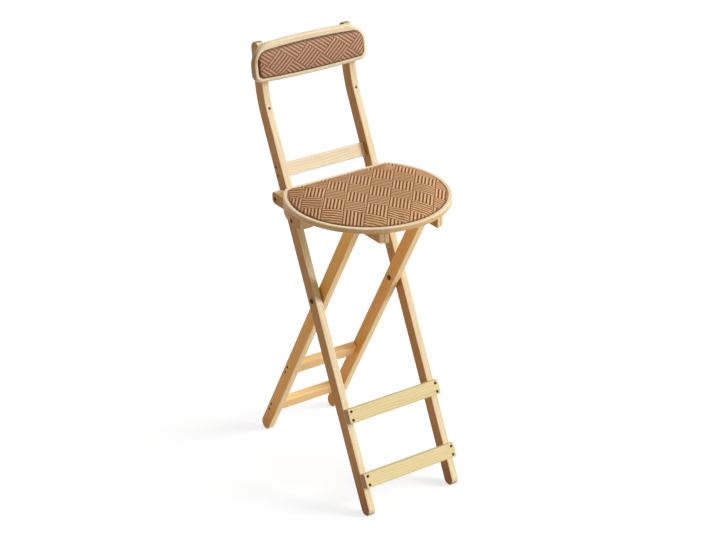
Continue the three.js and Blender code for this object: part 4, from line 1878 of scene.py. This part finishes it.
@dataclass
class Seat(Maker):
    """The round seat with its battens, side blocks and link bolts."""

    radius: float = 187.6
    centre_y: float = -38.2
    back_y: float = 89.3
    underside: float = 690.2
    thick: float = 12.0
    rim: float = 9.5
    pocket: float = 4.0
    overrun: float = 3.0
    corner: float = 26.0
    edge_steps: int = 120
    top_round: float = 3.0
    top_segments: int = 4
    ease: float = 1.2
    ease_angle: float = 60.0
    block_ease: float = 1.8
    batten_behind: float = 33.6
    batten_ease: float = 2.0
    batten_steps: int = 6
    groove: float = 1.2
    groove_deep: float = 4.0
    groove_overrun: float = 1.0
    block_deep: float = 24.2
    block_inner: float = 153.5
    block_front: float = -52.0
    block_back: float = 60.0
    block_inset: float = 0.6
    block_steps: int = 18
    link_pivot_y: float = -11.99

    @property
    def space(self) -> Space:
        """Space of the seat: level, with Y measured from the crossing."""
        return Space((0.0, -self.stand.middle_y, 0.0))

    @property
    def block_top(self) -> float:
        """Upper face of battens, side blocks and links."""
        return self.underside - self.stand.rest_gap

    @property
    def batten_outer(self) -> float:
        """Outer face of the right batten."""
        return self.stand.rear_inner - self.stand.batten_gap

    @property
    def rear_pivot_y(self) -> float:
        """Where the rear legs carry the seat."""
        return -self.stand.pivot_rise * math.tan(self.stand.rear_lean)

    def outline(self, inset: float) -> Outline:
        """A disc cut straight at the back, with rounded corners.

        Args:
            inset: How far inside the board's edge it runs.

        Returns:
            The outline.
        """
        radius, back, corner = self.radius - inset, self.back_y - inset, self.corner - inset
        corner_y = back - corner
        offset = corner_y - self.centre_y
        corner_x = math.sqrt((radius - corner) ** 2 - offset**2)
        angle = math.atan2(offset, corner_x)
        strokes = [
            Arc(corner_x, corner_y, QUARTER_TURN - angle),
            Line(-corner_x, back),
            Arc(-corner_x, corner_y, QUARTER_TURN - angle),
            Arc(0, self.centre_y, HALF_TURN + 2 * angle, self.edge_steps),
        ]
        return Outline((radius * math.cos(angle), self.centre_y + radius * math.sin(angle)), strokes)

    def board(self) -> None:
        """Builds the seat board with its pocket."""
        piece = Workpiece.drawn("seat_rim", Plane.XY, self.outline(0.0), self.underside, self.thick)
        piece.round_front(UP, self.top_round, self.top_segments)
        floor = self.underside + self.thick - self.pocket
        pocket = self.outline(self.rim)
        cutter = Workpiece.drawn("pocket_cutter", Plane.XY, pocket, floor, self.pocket + self.overrun)
        piece.cut([cutter.obj])
        piece.ease(self.ease, self.ease_angle)
        self.shop.wood(piece, Grain.LEVEL, self.space, Body.SEAT, Look.SEAT_RIM, "seat_board")

    def edge_distance(self, rows: np.ndarray) -> np.ndarray:
        """Distance of points from the pad's edge, in millimetres."""
        across, back = rows[:, 0] / MM, rows[:, 1] / MM
        round_edge = self.radius - self.rim - np.hypot(across, back - self.centre_y)
        return np.minimum(round_edge, self.back_y - self.rim - back)

    def _under_block(self, name: str, start: tuple[float, float], strokes: Sequence[Line | Arc]) -> Workpiece:
        """A block under the right half of the seat, with its edges eased."""
        base, outline = self.block_top - self.block_deep, Outline(start, strokes)
        piece = Workpiece.drawn(name, Plane.XY, outline, base, self.block_deep)
        piece.ease(self.block_ease)
        return piece

    def _groove(self, piece: Workpiece, inner: float, outer: float, nose: float, back: float) -> None:
        """Cuts the joint of a batten's two strips into its front end and its underside."""
        top, past, deep = self.block_top, self.groove_overrun, self.groove / 2
        low, middle = top - self.block_deep, (inner + outer) / 2
        first = (middle - deep, nose - self.groove_deep, low - past)
        for last in ((middle + deep, nose + past, top + past), (middle + deep, back + past, low + past)):
            piece.cut([Workpiece.box("groove_cutter", first, last).obj])

    def batten(self, side: Side) -> None:
        """Builds one batten of two glued strips whose front end follows the seat's edge."""
        inner, outer = self.batten_outer - self.stand.batten_thick, self.batten_outer
        radius = self.radius - self.batten_ease
        back = self.rear_pivot_y + self.batten_behind
        inner_y = self.centre_y - math.sqrt(radius**2 - inner**2)
        turn = math.asin(outer / radius) - math.asin(inner / radius)
        strokes = [
            Arc(0, self.centre_y, turn, self.batten_steps),
            Line(outer, back),
            Line(inner, back),
            Line(inner, inner_y),
        ]
        piece = self._under_block(f"{side}_batten", (inner, inner_y), strokes)
        nose = self.centre_y - math.sqrt(radius**2 - ((inner + outer) / 2) ** 2)
        self._groove(piece, inner, outer, nose, back)
        if side.sign < 0:
            piece.mirror()
        self.shop.wood(piece, Grain.BACKWARD, self.space, Body.SEAT, Look.BLOCK, f"seat_batten_{side}")

    def block(self, side: Side) -> None:
        """Builds one side block between the link and the seat's round edge, with its bolt."""
        radius = self.radius - self.block_inset
        front_angle = math.asin((self.block_front - self.centre_y) / radius)
        back_angle = math.asin((self.block_back - self.centre_y) / radius)
        front = (radius * math.cos(front_angle), self.block_front)
        strokes = [
            Arc(0, self.centre_y, back_angle - front_angle, self.block_steps),
            Line(self.block_inner, self.block_back),
            Line(self.block_inner, self.block_front),
            Line(*front),
        ]
        piece = self._under_block(f"{side}_side_block", front, strokes)
        if side.sign < 0:
            piece.mirror()
        outer = math.sqrt(radius**2 - (self.link_pivot_y - self.centre_y) ** 2)
        gap, sunk = self.stand.rest_gap, self.hardware.bolt_sunk
        face = Vector((side.sign * outer, self.link_pivot_y, self.stand.pivot_height))
        piece.cut([self.hardware.bolt_hole(face, side.out, sunk + gap)])
        self.shop.wood(piece, Grain.BACKWARD, self.space, Body.SEAT, Look.BLOCK, f"side_block_{side}")
        bolt = self.hardware.bolt(outer - sunk - self.stand.link_inner - gap, far_head=False)
        self.hardware.fit(bolt, "link_bolt", side, face, self.space, Body.SEAT, sunk)
        bolt.drop()

    def build(self, pad: bpy.types.Object, cloth: ClothFinish, form: PadForm) -> None:
        """Builds the seat with its pad.

        Args:
            pad: The CAD pad.
            cloth: The woven cover.
            form: How the pad is puffed.
        """
        self.board()
        stand, gap = self.stand, self.stand.rest_gap
        washer = self.hardware.washer(stand.batten_gap - 2 * gap)
        for side in SIDES:
            self.batten(side)
            self.block(side)
            origin = Vector((side.sign * (self.batten_outer + gap), self.rear_pivot_y, stand.pivot_height))
            self.hardware.fit(washer, "batten_washer", side, origin, self.space, Body.SEAT)
        washer.drop()
        cushion = WovenPad(
            self.shop, "seat_pad", "seat_cushion", self.space, UP, (0, 1), Body.SEAT, cloth, form
        )
        cushion.build(pad, self.edge_distance)


@dataclass
class Links(Maker):
    """The two links that lock the seat open."""

    seat: Seat
    thick: float = 25.0
    below: float = 12.0
    reach: float = 12.0
    front_fillet: float = 14.0
    back_fillet: float = 8.0
    corner_steps: int = 12

    @property
    def leg_pivot_y(self) -> float:
        """Where the long legs carry the links."""
        return self.stand.pivot_rise * math.tan(self.stand.long_lean)

    def outline(self) -> Outline:
        """A link seen from the side: round below its pivots and filleted above them."""
        front, back, level = self.seat.link_pivot_y, self.leg_pivot_y, self.stand.pivot_height
        top, steps = self.seat.block_top, self.corner_steps
        start = (front - self.below, level)
        front_y, front_z = front - self.reach + self.front_fillet, top - self.front_fillet
        back_y, back_z = back + self.reach - self.back_fillet, top - self.back_fillet
        strokes = [
            Arc(front, level, QUARTER_TURN, steps),
            Line(back, level - self.below),
            Arc(back, level, QUARTER_TURN, steps),
            Line(back + self.reach, back_z),
            Arc(back_y, back_z, QUARTER_TURN),
            Line(front_y, top),
            Arc(front_y, front_z, QUARTER_TURN, steps),
            Line(*start),
        ]
        return Outline(start, strokes)

    def build(self) -> None:
        """Builds both links and their leg bolts."""
        stand, space, inner = self.stand, self.seat.space, self.stand.link_inner
        sunk = self.hardware.bolt_sunk
        bolt = self.hardware.bolt(self.thick - sunk - stand.rest_gap, far_head=False)
        for side, body in zip(SIDES, (Body.LINK_LEFT, Body.LINK_RIGHT)):
            base = inner if side.sign > 0 else -inner - self.thick
            piece = Workpiece.drawn(f"{side}_link", Plane.YZ, self.outline(), base, self.thick)
            piece.ease(stand.ease)
            face = Vector((side.sign * (inner + self.thick), self.leg_pivot_y, stand.pivot_height))
            piece.cut([self.hardware.bolt_hole(face, side.out, sunk + stand.rest_gap)])
            self.shop.wood(piece, Grain.BACKWARD, space, body, Look.BLOCK, f"link_{side}")
            self.hardware.fit(bolt, "leg_bolt", side, face, space, body, sunk)
        bolt.drop()


@dataclass
class Studio:
    """Camera, lamps, backdrop and floor, in metres."""

    camera_place: tuple[float, float, float] = (-2.3405, -3.4236, 2.5129)
    camera_turn: tuple[float, float, float] = (64.02, 0.0, -34.49)
    focal_pixels: float = 2026.2
    image_width: float = 716.0
    sensor: float = 36.0
    target: tuple[float, float, float] = (0.0, 0.0, 0.55)
    floor_size: float = 40.0
    floor_tone: Tone = (172, 172, 170)
    floor_cloud: Tone = (176, 176, 174)
    floor_glow: Colour = (0.68, 0.71, 0.75, 1.0)
    floor_bounce: Colour = (0.26, 0.19, 0.12, 1.0)
    fill: Colour = (1.0, 0.73, 0.48, 1.0)
    fill_strength: float = 0.2

    def camera(self) -> None:
        """Sets the camera at the photograph's viewing angle."""
        data = bpy.data.cameras.new("camera")
        data.sensor_width = self.sensor
        data.lens = self.focal_pixels * self.sensor / self.image_width
        data.clip_start, data.clip_end = 0.05, 60.0
        camera = bpy.data.objects.new("camera", data)
        camera.location = self.camera_place
        camera.rotation_euler = [math.radians(turn) for turn in self.camera_turn]
        bpy.context.scene.collection.objects.link(camera)
        bpy.context.scene.camera = camera

    def lamp(
        self, name: str, place: Sequence[float], spread: float, strength: float, colour: Sequence[float]
    ) -> None:
        """Adds one wide, distant lamp that shines on the stool.

        Args:
            name: Name of the lamp.
            place: Where it shines from.
            spread: Width of its face as seen from the stool, in degrees.
            strength: Its strength.
            colour: Its colour.
        """
        data = bpy.data.lights.new(name, "SUN")
        data.angle = math.radians(spread)
        data.energy = strength
        data.color = colour
        lamp = bpy.data.objects.new(name, data)
        lamp.location = place
        away = Vector(place) - Vector(self.target)
        lamp.rotation_euler = away.to_track_quat("Z", "Y").to_euler()
        bpy.context.scene.collection.objects.link(lamp)

    def world(self) -> None:
        """Fills the room with even light and shows it white to the camera."""
        world = bpy.data.worlds.new("room")
        bpy.context.scene.world = world
        world.use_nodes = True
        tree = world.node_tree
        tree.nodes.clear()
        rays = tree.nodes.new("ShaderNodeLightPath")
        choose, out = tree.nodes.new("ShaderNodeMixShader"), tree.nodes.new("ShaderNodeOutputWorld")
        for place, (colour, strength) in enumerate(((self.fill, self.fill_strength), ((1, 1, 1, 1), 1.0)), 1):
            light = tree.nodes.new("ShaderNodeBackground")
            light.inputs[0].default_value, light.inputs[1].default_value = colour, strength
            tree.links.new(light.outputs[0], choose.inputs[place])
        seen = rays.outputs[SEEN_RAYS[0]]
        for kind in SEEN_RAYS[1:]:
            either = tree.nodes.new("ShaderNodeMath")
            either.operation = "MAXIMUM"
            tree.links.new(seen, either.inputs[0])
            tree.links.new(rays.outputs[kind], either.inputs[1])
            seen = either.outputs[0]
        tree.links.new(seen, choose.inputs[0])
        tree.links.new(choose.outputs[0], out.inputs[0])

    def floor(self) -> None:
        """Lays the plain pale floor."""
        clear_selection()
        bpy.ops.mesh.primitive_plane_add(size=self.floor_size, location=(0, 0, 0))
        floor = bpy.context.object
        floor.name = "floor"
        recipe = Recipe("pale_floor")
        cloud = recipe.noise(recipe.place(), 3.0)
        camera, glossy, clear = (recipe.add("ShaderNodeLightPath", output=kind) for kind in SEEN_RAYS)
        inputs = {
            "Base Color": recipe.blend(cloud, srgb(self.floor_tone), srgb(self.floor_cloud)),
            "Roughness": 0.9,
            "Specular IOR Level": 0.0,
            "Emission Color": recipe.blend(
                camera.larger(glossy).larger(clear), self.floor_bounce, self.floor_glow
            ),
            "Emission Strength": 1.0,
        }
        floor.data.materials.append(recipe.surface(inputs))

    def build(self) -> None:
        """Sets up the whole studio."""
        self.camera()
        self.lamp("key", (2.8, -2.2, 2.35), 30.0, 2.75, (1.0, 1.0, 1.0))
        self.lamp("top", (0.2, 0.2, 3.2), 60.0, 1.1, (1.0, 0.92, 0.83))
        self.world()
        self.floor()
        bpy.context.scene.view_settings.view_transform = "Standard"


CREAM_WOOD = WoodFinish("cream_wood", (242, 232, 204), (230, 212, 178), (198, 160, 116), (146, 104, 66))
SEAT_WEAVE = Weave((30.4, -38.4), (30.1, 37.1), (-140.3, 9.2))
# A cloth's colours: painted highlight on the cords' crowns, the cords' own colour, the backing with painted
# shade between the cords, and painted shade at the pad's edge. The backrest's two shares weaken the shade
# between its cords.
SEAT_CLOTH = ClothFinish(
    "seat_weave", SEAT_WEAVE, (237, 197, 153), (195, 149, 106), (116, 73, 45), (104, 69, 41)
)
BACK_WEAVE = Weave((36.5, -30.0), (36.5, 30.0), (-123.5, 81.4))
BACK_CLOTH = ClothFinish(
    "backrest_weave", BACK_WEAVE, (209, 173, 145), (179, 140, 112), (118, 80, 58), (86, 57, 41), 0.7, 0.8
)
# Painted shade tints of the wide faces, darker near the feet; the blocks' set also gives a smaller end grain
# share.
HONEY_SHADE_TINTS = {"broad": (212, 167, 107), "foot": (176, 116, 56)}
REAR_SHADE_TINTS = {"broad": (252, 214, 142), "foot": (226, 174, 98)}
BLOCK_SHADE_TINTS_AND_END = {"broad": (212, 167, 107), "foot": (212, 167, 107), "end_share": 0.5}
FINISHES = (
    WoodFinish("honey_wood", (238, 228, 196), (228, 208, 168), (190, 150, 106), (112, 76, 46), **HONEY_SHADE_TINTS),
    CREAM_WOOD,
    # Brightened copy of the honey wood: painted light on the rear legs.
    WoodFinish("rear_wood", (252, 234, 190), (244, 212, 160), (200, 154, 104), (112, 76, 46), **REAR_SHADE_TINTS),
    WoodFinish("bar_wood", (254, 224, 164), (248, 210, 144), (208, 160, 102), (180, 130, 84)),
    WoodFinish("tread_wood", (228, 216, 166), (218, 200, 146), (188, 152, 100), (166, 122, 80)),
    # The seat board's narrow faces get painted shade.
    replace(CREAM_WOOD, name="seat_wood", side=(232, 214, 188), end_share=0.0),
    WoodFinish(
        "block_wood", (240, 226, 190), (230, 206, 160), (190, 150, 106), (228, 190, 142), **BLOCK_SHADE_TINTS_AND_END
    ),
    SteelFinish("dark_steel", (62, 50, 42), (110, 96, 84)),
    RubberFinish("brown_rubber", (140, 108, 78), (165, 132, 100)),
    SEAT_CLOTH,
    BACK_CLOTH,
)
SEAT_PUFF = PadForm(voxel=4.0, pressure=4.0, cap=5.0, relief=1.7)
BACK_PUFF = PadForm(voxel=3.0, pressure=4.0, cap=3.0, relief=1.2)


def main() -> None:
    """Builds the stool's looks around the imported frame."""
    logging.basicConfig(level=logging.INFO, format="%(name)s: %(message)s")
    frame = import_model()
    Studio().build()
    shop = Workshop({finish.name: finish.make() for finish in FINISHES})
    tools = (shop, Hardware(shop), Stand())
    long_frame = LongFrame(*tools)
    long_frame.build()
    RearFrame(*tools).build()
    Backrest(*tools, long_frame).build(frame["nodes"]["backrest_pad"], BACK_CLOTH, BACK_PUFF)
    seat = Seat(*tools)
    seat.build(frame["nodes"]["seat_pad"], SEAT_CLOTH, SEAT_PUFF)
    Links(*tools, seat).build()
    log.info("%d pieces made", shop.made)


if __name__ == "__main__":
    main()
